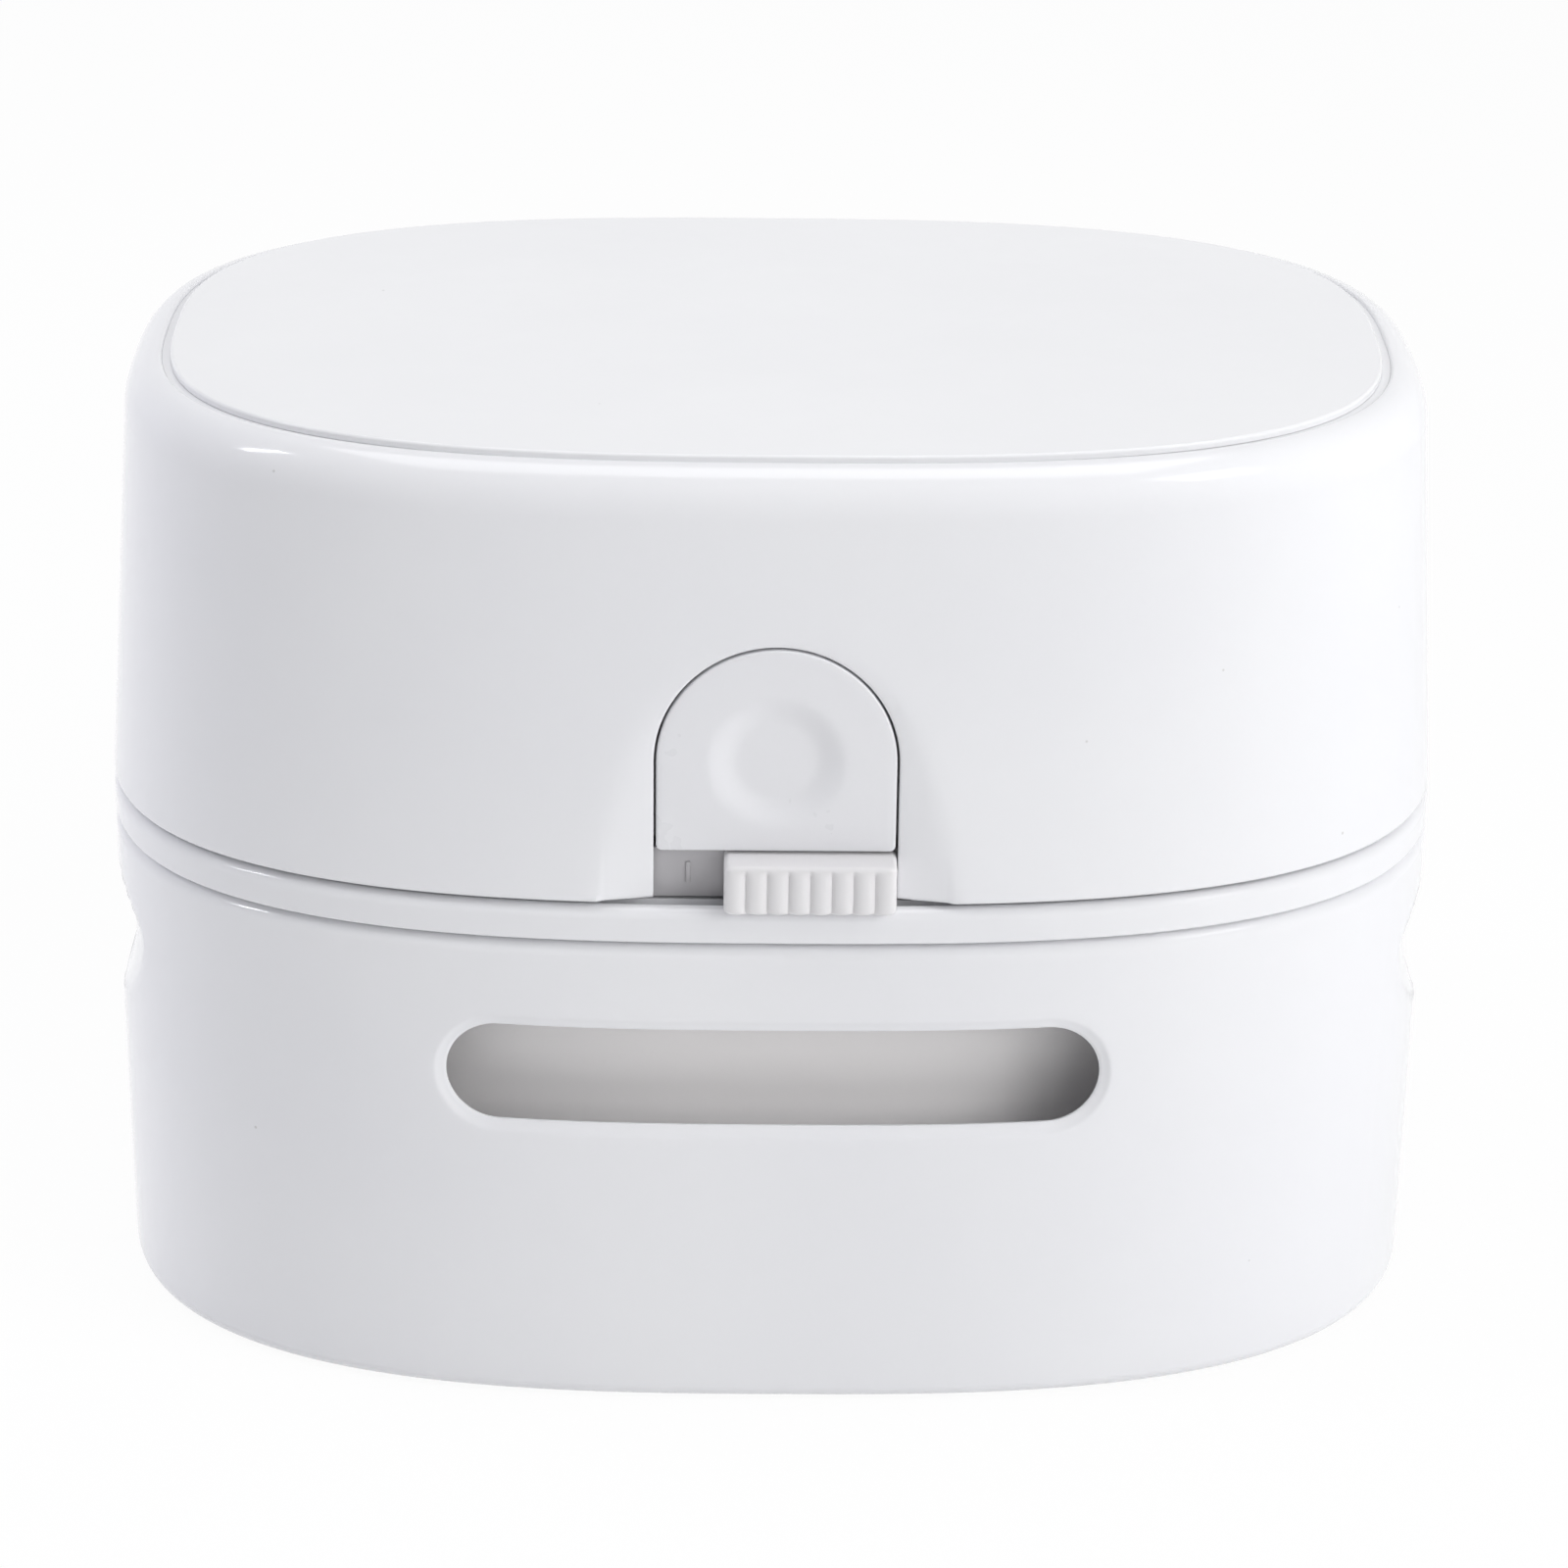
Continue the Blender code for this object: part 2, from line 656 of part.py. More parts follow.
def along_stadium(length, width, share):
    """A point and the outward direction at a share of the way round a slot outline."""
    radius, reach = width / 2, (length - width) / 2
    bend, straight = math.pi * radius, 2 * reach
    walked = share * 2 * (bend + straight)
    side = 1 if walked < bend + straight else -1
    walked -= 0 if side == 1 else bend + straight
    if walked < straight:
        return Vector((side * (reach - walked), side * radius)), Vector((0, side))
    turn = math.pi / 2 + (walked - straight) / radius
    outward = Vector((math.cos(turn), math.sin(turn))) * side
    return Vector((-side * reach, 0)) + outward * radius, outward


def build_brush():
    """Two rows of bristles, the outer row leaning out and the inner in, on one backing band."""
    low, high = PLATE_Z, PLATE_Z + BRUSH_BACKING
    brush = ring_prism("brush_ring", BRUSH_MARGIN, BRUSH_WIDTH, low, high, BRISTLE)
    shape = bmesh.new()
    for row in range(BRISTLE_ROWS):
        margin = BRUSH_MARGIN + BRUSH_WIDTH * (row + 1) / (BRISTLE_ROWS + 1)
        lean = BRISTLE_SPLAY * (2 * row / (BRISTLE_ROWS - 1) - 1)
        for i in range(BRISTLES_PER_ROW):
            share = (i + row / BRISTLE_ROWS) / BRISTLES_PER_ROW
            place, outward = along_stadium(
                NOZZLE_LENGTH + 2 * margin, NOZZLE_WIDTH + 2 * margin, share
            )
            root = Vector((*place, low + BRUSH_BACKING / 2))
            tip = Vector((*(place + outward * lean), BRUSH_GROUND_GAP))
            rings = []
            for centre, radius in ((root, BRISTLE_ROOT_RADIUS), (tip, BRISTLE_TIP_RADIUS)):
                ring = []
                for side in range(BRISTLE_SIDES):
                    turn = 2 * math.pi * side / BRISTLE_SIDES
                    around = Vector((math.cos(turn), math.sin(turn), 0)) * radius
                    ring.append(shape.verts.new(centre + around))
                rings.append(ring)
            upper, lower = rings
            for side in range(BRISTLE_SIDES):
                after = (side + 1) % BRISTLE_SIDES
                shape.faces.new((upper[side], upper[after], lower[after], lower[side]))
            shape.faces.new(upper)
            shape.faces.new(lower)
    bmesh.ops.recalc_face_normals(shape, faces=shape.faces)
    mesh = bpy.data.meshes.new("bristles")
    shape.to_mesh(mesh)
    shape.free()
    return boolean(brush, add_object("bristles", mesh), "UNION")


def build_gasket():
    low = LEDGE_HEIGHT + SEAT_GAP
    middle = FAN_HOUSING_INSET + FAN_WALL / 2
    inner, outer = middle + GASKET_WIDTH / 2, middle - GASKET_WIDTH / 2
    profile = [
        (outer, low),
        (outer, low + GASKET_THICKNESS),
        (inner, low + GASKET_THICKNESS),
        (inner, low),
    ]
    return oval_loft("dust_gasket", profile, RUBBER, INNER_SIDES, closed=True)


def build_latch_fork():
    """The dust box's spring clip: two legs up through the deck, a bar for the button, two teeth."""
    root_top = SEAM_Z - SEAM_ROUND
    root_low = root_top - FORK_ROOT_HEIGHT
    wall_y = -(HALF_DEPTH - WALL) + SEAT_GAP + lower_inset(root_low)
    bar_top = FORK_BAR_Z + FORK_BAR_HEIGHT
    back_y = FORK_Y + FORK_THICKNESS
    fork = box(
        "latch_fork",
        (-FORK_LEG_REACH, FORK_Y, FORK_BAR_Z),
        (FORK_LEG_REACH, back_y, bar_top),
        GREY,
    )
    inner = FORK_LEG_REACH - FORK_LEG_WIDTH
    tooth_low = DECK_Z + CATCH_HEIGHT + SEAT_GAP
    for side in (-1, 1):
        x0, x1 = sorted((side * inner, side * FORK_LEG_REACH))
        leg = box(f"leg_{side}", (x0, FORK_Y, root_low), (x1, back_y, bar_top))
        boolean(fork, leg, "UNION")
        tooth = outline_prism(
            f"tooth_{side}",
            [
                (FORK_Y - FORK_TOOTH, tooth_low),
                (FORK_Y + FORK_THICKNESS / 2, tooth_low),
                (FORK_Y + FORK_THICKNESS / 2, tooth_low + FORK_TOOTH_HEIGHT),
                (FORK_Y - FORK_TOOTH / 4, tooth_low + FORK_TOOTH_HEIGHT),
            ],
            x0 + SEAT_GAP,
            x1 - SEAT_GAP,
            "Z",
        )
        tooth.data.transform(Matrix(((0, 0, 1, 0), (1, 0, 0, 0), (0, 1, 0, 0), (0, 0, 0, 1))))
        boolean(fork, tooth, "UNION")
    root = box(
        "fork_root", (-FORK_LEG_REACH, wall_y, root_low), (FORK_LEG_REACH, back_y, root_top)
    )
    return boolean(fork, root, "UNION")


def build_chassis():
    """The band between the shells, with the motor deck, a spigot above and a skirt below."""
    lap = WALL + 2 * SEAT_GAP
    profile = [
        (lap + SPIGOT_WALL, DECK_Z),
        (lap + SPIGOT_WALL, SHELL_Z + SPIGOT_RISE),
        (lap, SHELL_Z + SPIGOT_RISE),
        (lap, DECK_Z),
        *arc((BAND_SHOULDER, DECK_Z - BAND_SHOULDER), (BAND_SHOULDER, BAND_SHOULDER), 90, 180, 2),
        (0.0, BAND_Z),
        (lap, BAND_Z),
        (lap, BAND_Z - SKIRT_DROP),
        (lap + SPIGOT_WALL, BAND_Z - SKIRT_DROP),
        (lap + SPIGOT_WALL, BAND_Z),
    ]
    chassis = oval_loft("chassis", profile, WHITE)
    front = -(HALF_DEPTH - lap + CUT_OVERRUN)
    clear_x = NOTCH_HALF_WIDTH + LATCH_CUT_CLEARANCE
    boolean(
        chassis,
        box(
            "spigot_cut",
            (-clear_x, front, DECK_Z),
            (clear_x, BRACKET_Y, SHELL_Z + SPIGOT_RISE + CUT_OVERRUN),
        ),
    )
    boolean(
        chassis,
        box(
            "skirt_cut",
            (-clear_x, front, BAND_Z - SKIRT_DROP - CUT_OVERRUN),
            (clear_x, BRACKET_Y, BAND_Z),
        ),
    )
    for side in (-1, 1):
        x0, x1 = sorted(
            (
                side * (FORK_LEG_REACH - FORK_LEG_WIDTH - SEAT_GAP),
                side * (FORK_LEG_REACH + SEAT_GAP),
            )
        )
        boolean(
            chassis,
            box(
                f"latch_slot_{side}",
                (x0, FORK_Y - SEAT_GAP, BAND_Z - CUT_OVERRUN),
                (x1, FORK_Y + FORK_THICKNESS + BUTTON_TRAVEL, DECK_Z + CUT_OVERRUN),
            ),
        )
        catch = box(
            f"catch_{side}",
            (x0, FORK_Y - SEAT_GAP - CATCH_THICKNESS, DECK_Z - BAND_HEIGHT / 2),
            (x1, FORK_Y - SEAT_GAP, DECK_Z + CATCH_HEIGHT),
        )
        boolean(chassis, catch, "UNION")
    bracket = box(
        "spring_bracket",
        (-BRACKET_WIDTH / 2, BRACKET_Y, DECK_Z - BAND_HEIGHT / 2),
        (
            BRACKET_WIDTH / 2,
            BRACKET_Y + BRACKET_THICKNESS,
            SPRING_Z + SPRING_RADIUS + SPRING_WIRE,
        ),
    )
    boolean(chassis, bracket, "UNION")
    collar_low = DECK_Z - BAND_HEIGHT / 2
    collar = cylinder(
        "motor_collar",
        COLLAR_RADIUS,
        (0, 0, collar_low),
        (0, 0, DECK_Z + MOTOR_COLLAR_HEIGHT),
    )
    boolean(chassis, collar, "UNION")
    pocket = cylinder(
        "motor_pocket",
        MOTOR_RADIUS + SEAT_GAP,
        (0, 0, DECK_Z),
        (0, 0, DECK_Z + MOTOR_COLLAR_HEIGHT + CUT_OVERRUN),
    )
    boolean(chassis, pocket)
    nose = cylinder(
        "motor_nose_hole",
        MOTOR_NOSE_RADIUS + SEAT_GAP,
        (0, 0, BAND_Z - CUT_OVERRUN),
        (0, 0, DECK_Z + CUT_OVERRUN),
        sides=SMALL_SIDES,
    )
    boolean(chassis, nose)
    for side in (-1, 1):
        x = side * FAN_POST_REACH
        post = cylinder(
            f"fan_post_{side}",
            FAN_POST_RADIUS,
            (x, 0, FAN_FLOOR_HEIGHT + FAN_FLOOR_THICKNESS + SEAT_GAP),
            (x, 0, DECK_Z - BAND_HEIGHT / 2),
            sides=SMALL_SIDES,
        )
        boolean(chassis, post, "UNION")
        pilot = cylinder(
            f"fan_pilot_{side}",
            SCREW_RADIUS + SCREW_HOLE_PLAY,
            (x, 0, FAN_FLOOR_HEIGHT),
            (x, 0, FAN_FLOOR_HEIGHT + SCREW_LENGTH + CUT_OVERRUN),
            sides=SMALL_SIDES,
        )
        boolean(chassis, pilot)
    for x, y in boss_places():
        hole = cylinder(
            "screw_hole",
            SCREW_RADIUS + SCREW_HOLE_PLAY,
            (x, y, BAND_Z - CUT_OVERRUN),
            (x, y, DECK_Z + CUT_OVERRUN),
            sides=SMALL_SIDES,
        )
        boolean(chassis, hole)
    return chassis


def boss_places():
    return [(sx * BOSS_REACH_X, sy * BOSS_REACH_Y) for sx in (-1, 1) for sy in (-1, 1)]


def notch_outline(growth, foot_z):
    return arch(NOTCH_HALF_WIDTH + growth, foot_z, ARCH_Z)


def build_upper_housing():
    """The upper shell: drafted wall, rounded rim, recessed floor over the cells, arched notch."""
    shoulder_z = RIM_Z - RIM_ROUND_HEIGHT
    inner_top = upper_inset(CEILING_Z) + WALL
    profile = [
        (inner_top + CEILING_ROUND, CEILING_Z),
        (inner_top, CEILING_Z - CEILING_ROUND),
        (WALL, SHELL_Z),
        (0.0, SHELL_Z),
        *arc((RIM_INSET, shoulder_z), (RIM_WIDTH, RIM_ROUND_HEIGHT), 180, 100, 4),
        (RIM_INSET, RIM_Z - RIM_LIP),
        (RIM_INSET, RECESS_Z),
    ]
    housing = oval_loft("upper_housing", profile, WHITE)
    for i, (x, y) in enumerate(boss_places()):
        boss = cylinder(
            f"boss_{i}",
            BOSS_RADIUS,
            (x, y, DECK_Z + SEAT_GAP),
            (x, y, CEILING_Z + FLOOR_THICKNESS / 2),
            sides=SMALL_SIDES,
        )
        boolean(housing, boss, "UNION")
        pilot = cylinder(
            f"boss_pilot_{i}",
            SCREW_RADIUS + SCREW_HOLE_PLAY,
            (x, y, DECK_Z - CUT_OVERRUN),
            (x, y, BAND_Z + SCREW_LENGTH + CUT_OVERRUN),
            sides=SMALL_SIDES,
        )
        boolean(housing, pilot)
    foot = SHELL_Z - CUT_OVERRUN
    straight = outline_prism(
        "notch_cutter",
        notch_outline(0.0, foot),
        -(HALF_DEPTH + CUT_OVERRUN),
        FLANGE_Y + BUTTON_FLANGE,
        "Y",
    )
    boolean(housing, straight)
    bevel = outline_prism(
        "notch_bevel",
        notch_outline(0.0, foot - NOTCH_BEVEL_GROWTH),
        FACE_Y,
        FACE_Y - NOTCH_BEVEL_DEPTH,
        "Y",
        grow=NOTCH_BEVEL_GROWTH,
    )
    boolean(housing, bevel)
    for side in (-1, 1):
        half_x = CELL_RADIUS + CELL_CLEARANCE
        half_y = tray_half_length() - TRAY_WALL
        x = side * CELL_SPACING
        bay = box(
            f"bay_opening_{side}",
            (x - half_x, -half_y, CEILING_Z - CUT_OVERRUN),
            (x + half_x, half_y, RECESS_Z + CUT_OVERRUN),
        )
        boolean(housing, bay)
    return housing


def build_top_cover():
    edge = RIM_INSET + COVER_GAP
    low = COVER_Z - COVER_THICKNESS
    foot = RECESS_Z + SEAT_GAP
    profile = [
        (edge + COVER_SKIRT, low),
        (edge + COVER_SKIRT, foot),
        (edge, foot),
        *arc(
            (edge + COVER_EDGE_ROUND, COVER_Z - COVER_EDGE_ROUND),
            (COVER_EDGE_ROUND, COVER_EDGE_ROUND),
            180,
            90,
            2,
        ),
    ]
    cover = oval_loft("top_cover", profile, WHITE)
    for side in (-1, 0, 1):
        y = side * BOSS_REACH_Y
        rib = box(
            f"cover_rib_{side}",
            (-COVER_RIB_LENGTH / 2, y - COVER_RIB_WIDTH / 2, foot + SEAT_GAP),
            (COVER_RIB_LENGTH / 2, y + COVER_RIB_WIDTH / 2, low + COVER_THICKNESS / 2),
        )
        boolean(cover, rib, "UNION")
    return cover


def build_release_button():
    """Arched push button: dished face in the notch, flange behind the wall, pusher and spring pin."""
    button = outline_prism(
        "release_button",
        arch(ARCH_RADIUS, BUTTON_FOOT_Z, ARCH_Z),
        FACE_Y,
        FLANGE_BACK_Y,
        "Y",
        WHITE,
    )
    flange = outline_prism(
        "button_flange",
        arch(ARCH_RADIUS + BUTTON_FLANGE, BUTTON_FOOT_Z + SEAT_GAP, ARCH_Z),
        FLANGE_Y + SEAT_GAP,
        FLANGE_BACK_Y,
        "Y",
    )
    boolean(button, flange, "UNION")
    ball_radius = (DISH_RADIUS**2 + DISH_DEPTH**2) / (2 * DISH_DEPTH)
    dish = ball(
        "dish_cutter", ball_radius, (0, FACE_Y + DISH_DEPTH - ball_radius, ARCH_Z), DISH_RADIUS
    )
    boolean(button, dish)
    pusher_z = FORK_BAR_Z + FORK_BAR_HEIGHT / 2
    pusher = box(
        "button_pusher",
        (-PUSHER_WIDTH / 2, FLANGE_Y, pusher_z - PUSHER_HEIGHT / 2),
        (PUSHER_WIDTH / 2, FORK_Y - SEAT_GAP, pusher_z + PUSHER_HEIGHT / 2),
    )
    boolean(button, pusher, "UNION")
    pin = cylinder(
        "spring_pin",
        SPRING_PIN_RADIUS,
        (0, FLANGE_Y, SPRING_Z),
        (0, FLANGE_BACK_Y + SPRING_PIN_LENGTH, SPRING_Z),
        sides=SMALL_SIDES,
    )
    return boolean(button, pin, "UNION")


def ball(name, radius, centre, mouth_radius):
    """The cap of a large sphere that hollows a dish, as a turned segment facing +Y."""
    shape = bmesh.new()
    half_angle = math.asin(mouth_radius / radius) * DISH_CUTTER_SHARE
    rings = []
    for step in range(1, DISH_STEPS + 1):
        lean = half_angle * step / DISH_STEPS
        ring = []
        for side in range(ROUND_SIDES):
            turn = 2 * math.pi * side / ROUND_SIDES
            ring.append(
                shape.verts.new(
                    (
                        centre[0] + radius * math.sin(lean) * math.cos(turn),
                        centre[1] + radius * math.cos(lean),
                        centre[2] + radius * math.sin(lean) * math.sin(turn),
                    )
                )
            )
        rings.append(ring)
    tip = shape.verts.new((centre[0], centre[1] + radius, centre[2]))
    for i in range(ROUND_SIDES):
        j = (i + 1) % ROUND_SIDES
        shape.faces.new((tip, rings[0][i], rings[0][j]))
        for low, high in zip(rings, rings[1:]):
            shape.faces.new((low[i], high[i], high[j], low[j]))
    shape.faces.new(rings[-1])
    bmesh.ops.recalc_face_normals(shape, faces=shape.faces)
    mesh = bpy.data.meshes.new(name)
    shape.to_mesh(mesh)
    shape.free()
    return add_object(name, mesh)


def build_button_spring():
    start = FLANGE_BACK_Y + SPRING_WIRE / 2 + SEAT_GAP
    end = BRACKET_Y - SPRING_WIRE / 2 - SEAT_GAP
    return coil(
        "button_spring",
        (SPRING_RADIUS, SPRING_RADIUS),
        SPRING_WIRE,
        SPRING_TURNS,
        (0, start, SPRING_Z),
        (0, end - start, 0),
        STEEL,
    )


def build_switch_plate():
    """The recessed plate behind the sliding knob, slotted for the knob's stem."""
    half = NOTCH_HALF_WIDTH + PANEL_MARGIN / 2
    low, high = DECK_Z + KNOB_GAP, KNOB_TOP_Z
    plate = box(
        "switch_plate", (-half, PANEL_Y, low), (half, PANEL_Y + PANEL_THICKNESS, high), WHITE
    )
    stem_left = KNOB_X - KNOB_TRAVEL - KNOB_STEM_WIDTH / 2 - SEAT_GAP
    stem_right = KNOB_X + KNOB_STEM_WIDTH / 2 + SEAT_GAP
    half_slot = KNOB_STEM_HEIGHT / 2 + SEAT_GAP
    slot = box(
        "stem_slot",
        (stem_left, PANEL_Y - CUT_OVERRUN, KNOB_Z - half_slot),
        (stem_right, PANEL_Y + PANEL_THICKNESS + CUT_OVERRUN, KNOB_Z + half_slot),
    )
    return boolean(plate, slot)


def build_switch_knob():
    """The ribbed thumb slider, with its stem through the plate into the switch."""
    front = -(HALF_DEPTH + KNOB_PROUD)
    back = PANEL_Y - SEAT_GAP
    pitch = KNOB_WIDTH / KNOB_RIBS
    left = KNOB_X - KNOB_WIDTH / 2
    outline = [(left + KNOB_WIDTH, back), (left, back)]
    for rib in range(KNOB_RIBS):
        for step in range(KNOB_RIB_STEPS + (rib == KNOB_RIBS - 1)):
            share = step / KNOB_RIB_STEPS
            bulge = KNOB_RIB_HEIGHT * math.sin(math.pi * share)
            outline.append((left + pitch * (rib + share), front + KNOB_RIB_HEIGHT - bulge))
    knob = outline_prism(
        "switch_knob", outline, KNOB_Z - KNOB_HEIGHT / 2, KNOB_TOP_Z, "Z", KNOB_WHITE
    )
    stem = box(
        "knob_stem",
        (KNOB_X - KNOB_STEM_WIDTH / 2, back - CUT_OVERRUN, KNOB_Z - KNOB_STEM_HEIGHT / 2),
        (
            KNOB_X + KNOB_STEM_WIDTH / 2,
            SWITCH_Y + SWITCH_TRACK_DEPTH - SEAT_GAP,
            KNOB_Z + KNOB_STEM_HEIGHT / 2,
        ),
    )
    return boolean(knob, stem, "UNION")


def build_slide_switch():
    """The electrical slide switch behind the plate: body with a track, and three solder legs."""
    centre = KNOB_X - KNOB_TRAVEL / 2
    front = SWITCH_Y
    low, high = KNOB_Z - KNOB_HEIGHT / 2, KNOB_TOP_Z
    switch = box(
        "slide_switch",
        (centre - SWITCH_WIDTH / 2, front, low),
        (centre + SWITCH_WIDTH / 2, front + SWITCH_DEPTH, high),
        STEEL,
    )
    half_track = (KNOB_TRAVEL + KNOB_STEM_WIDTH) / 2 + SEAT_GAP
    half_slot = KNOB_STEM_HEIGHT / 2 + SEAT_GAP
    track = box(
        "switch_track",
        (centre - half_track, front - CUT_OVERRUN, KNOB_Z - half_slot),
        (centre + half_track, front + SWITCH_TRACK_DEPTH, KNOB_Z + half_slot),
    )
    boolean(switch, track)
    for place in (-1, 0, 1):
        x = centre + place * SWITCH_WIDTH / 3
        leg = box(
            f"switch_leg_{place}",
            (x - LEG_WIDTH / 2, front + SWITCH_DEPTH - LEG_WIDTH, KNOB_Z - LEG_WIDTH / 2),
            (x + LEG_WIDTH / 2, front + SWITCH_DEPTH + LEG_LENGTH, KNOB_Z + LEG_WIDTH / 2),
        )
        boolean(switch, leg, "UNION")
    return switch


def motor_foot():
    return DECK_Z + SEAT_GAP


def build_motor():
    """A small flat-sided can motor standing on the deck, its end cap and two terminals on top."""
    foot = motor_foot()
    top = foot + MOTOR_LENGTH
    can = cylinder("motor_can", MOTOR_RADIUS, (0, 0, foot), (0, 0, top), STEEL)
    for side in (-1, 1):
        y0, y1 = sorted(
            (side * MOTOR_FLAT / 2, side * (MOTOR_RADIUS + CUT_OVERRUN))
        )
        flat = box(
            f"motor_flat_{side}",
            (-MOTOR_RADIUS - CUT_OVERRUN, y0, foot - CUT_OVERRUN),
            (MOTOR_RADIUS + CUT_OVERRUN, y1, top + CUT_OVERRUN),
        )
        boolean(can, flat)
    nose = cylinder(
        "motor_nose",
        MOTOR_NOSE_RADIUS,
        (0, 0, foot - MOTOR_NOSE_LENGTH),
        (0, 0, foot + CUT_OVERRUN),
        sides=SMALL_SIDES,
    )
    boolean(can, nose, "UNION")
    bore = cylinder(
        "motor_bore",
        SHAFT_RADIUS + SHAFT_CLEARANCE,
        (0, 0, foot - MOTOR_NOSE_LENGTH - CUT_OVERRUN),
        (0, 0, top + CUT_OVERRUN),
        sides=SMALL_SIDES,
    )
    boolean(can, bore)
    cap_low = top + SEAT_GAP
    cap_top = cap_low + MOTOR_CAP_THICKNESS
    cap = cylinder(
        "motor_end_cap",
        MOTOR_FLAT / 2,
        (0, 0, cap_low),
        (0, 0, cap_top),
        WHITE,
    )
    cap_bore = cylinder(
        "end_cap_bore",
        SHAFT_RADIUS + SHAFT_CLEARANCE,
        (0, 0, cap_low - CUT_OVERRUN),
        (0, 0, cap_top + CUT_OVERRUN),
        sides=SMALL_SIDES,
    )
    boolean(cap, cap_bore)
    for name, side in (("left", -1), ("right", 1)):
        x = side * MOTOR_FLAT / 3
        box(
            f"motor_terminal_{name}",
            (x - TERMINAL_THICKNESS / 2, -TERMINAL_WIDTH / 2, cap_top + SEAT_GAP),
            (
                x + TERMINAL_THICKNESS / 2,
                TERMINAL_WIDTH / 2,
                cap_top + SEAT_GAP + TERMINAL_HEIGHT,
            ),
            NICKEL,
        )


def impeller_top():
    return BAND_Z - IMPELLER_DROP


def build_rotor():
    """The motor shaft and the centrifugal impeller pressed on its lower end."""
    disc_low = impeller_top() - IMPELLER_DISC
    blade_low = disc_low - IMPELLER_BLADE_HEIGHT
    shaft_top = motor_foot() + MOTOR_LENGTH + SEAT_GAP + MOTOR_CAP_THICKNESS
    cylinder(
        "motor_shaft",
        SHAFT_RADIUS,
        (0, 0, blade_low),
        (0, 0, shaft_top),
        STEEL,
        SMALL_SIDES,
    )
    impeller = cylinder(
        "impeller", IMPELLER_RADIUS, (0, 0, disc_low), (0, 0, impeller_top()), WHITE, 36
    )
    hub = cylinder(
        "impeller_hub",
        IMPELLER_HUB_RADIUS,
        (0, 0, blade_low),
        (0, 0, disc_low + IMPELLER_DISC / 2),
        sides=SMALL_SIDES,
        tip_radius=IMPELLER_BLADE_ROOT,
    )
    boolean(impeller, hub, "UNION")
    for blade in range(IMPELLER_BLADE_COUNT):
        turn = 2 * math.pi * blade / IMPELLER_BLADE_COUNT
        front, back = [], []
        for step in range(IMPELLER_BLADE_STEPS + 1):
            share = step / IMPELLER_BLADE_STEPS
            radius = IMPELLER_HUB_RADIUS + (
                IMPELLER_RADIUS - IMPELLER_BLADE_THICKNESS - IMPELLER_HUB_RADIUS
            ) * share
            bend = turn + IMPELLER_SWEEP * share
            half = IMPELLER_BLADE_THICKNESS / (2 * radius)
            front.append((radius * math.cos(bend + half), radius * math.sin(bend + half)))
            back.append((radius * math.cos(bend - half), radius * math.sin(bend - half)))
        vane = outline_prism(
            f"vane_{blade}",
            front + back[::-1],
            blade_low,
            disc_low + IMPELLER_DISC / 2,
            "Z",
        )
        boolean(impeller, vane, "UNION")
    bore = cylinder(
        "impeller_bore",
        SHAFT_RADIUS + SHAFT_CLEARANCE,
        (0, 0, blade_low - CUT_OVERRUN),
        (0, 0, impeller_top() + CUT_OVERRUN),
        sides=SMALL_SIDES,
    )
    boolean(impeller, bore)


def build_fan_housing():
    """The oval cup under the deck: fan floor with its eye, scroll wall, exhaust windows, skirt."""
    outer, inner = FAN_HOUSING_INSET, FAN_HOUSING_INSET + FAN_WALL
    floor_top = FAN_FLOOR_HEIGHT + FAN_FLOOR_THICKNESS
    profile = [
        (inner, floor_top),
        (inner, FAN_TOP_Z),
        (outer, FAN_TOP_Z),
        (outer, SKIRT_FOOT_Z),
        (inner, SKIRT_FOOT_Z),
        (inner, FAN_FLOOR_HEIGHT),
    ]
    housing = oval_loft("fan_housing", profile, GREY, INNER_SIDES)
    scroll_radius = IMPELLER_RADIUS + SCROLL_GAP
    scroll_low = floor_top - FAN_FLOOR_THICKNESS / 2
    scroll_top = FAN_TOP_Z - SEAT_GAP
    wall = cylinder(
        "scroll_wall",
        scroll_radius + SCROLL_WALL,
        (0, 0, scroll_low),
        (0, 0, scroll_top),
    )
    boolean(housing, wall, "UNION")
    hollow = cylinder(
        "scroll_hollow", scroll_radius, (0, 0, floor_top), (0, 0, scroll_top + CUT_OVERRUN)
    )
    boolean(housing, hollow)
    mouth = box(
        "scroll_mouths",
        (-(scroll_radius + 2 * SCROLL_WALL), -SCROLL_MOUTH / 2, floor_top),
        (scroll_radius + 2 * SCROLL_WALL, SCROLL_MOUTH / 2, scroll_top + CUT_OVERRUN),
    )
    boolean(housing, mouth)
    eye = cylinder(
        "fan_eye",
        FAN_EYE_RADIUS,
        (0, 0, FAN_FLOOR_HEIGHT - CUT_OVERRUN),
        (0, 0, floor_top + CUT_OVERRUN),
    )
    boolean(housing, eye)
    window_low = FAN_TOP_Z - EXHAUST_HEIGHT - WALL
    window = box(
        "exhaust_windows",
        (-HALF_WIDTH, -EXHAUST_WIDTH / 2, window_low),
        (HALF_WIDTH, EXHAUST_WIDTH / 2, window_low + EXHAUST_HEIGHT),
    )
    boolean(housing, window)
    for side in (-1, 1):
        hole = cylinder(
            f"fan_screw_hole_{side}",
            SCREW_RADIUS + SCREW_HOLE_PLAY,
            (side * FAN_POST_REACH, 0, FAN_FLOOR_HEIGHT - CUT_OVERRUN),
            (side * FAN_POST_REACH, 0, floor_top + CUT_OVERRUN),
            sides=SMALL_SIDES,
        )
        boolean(housing, hole)
    return housing


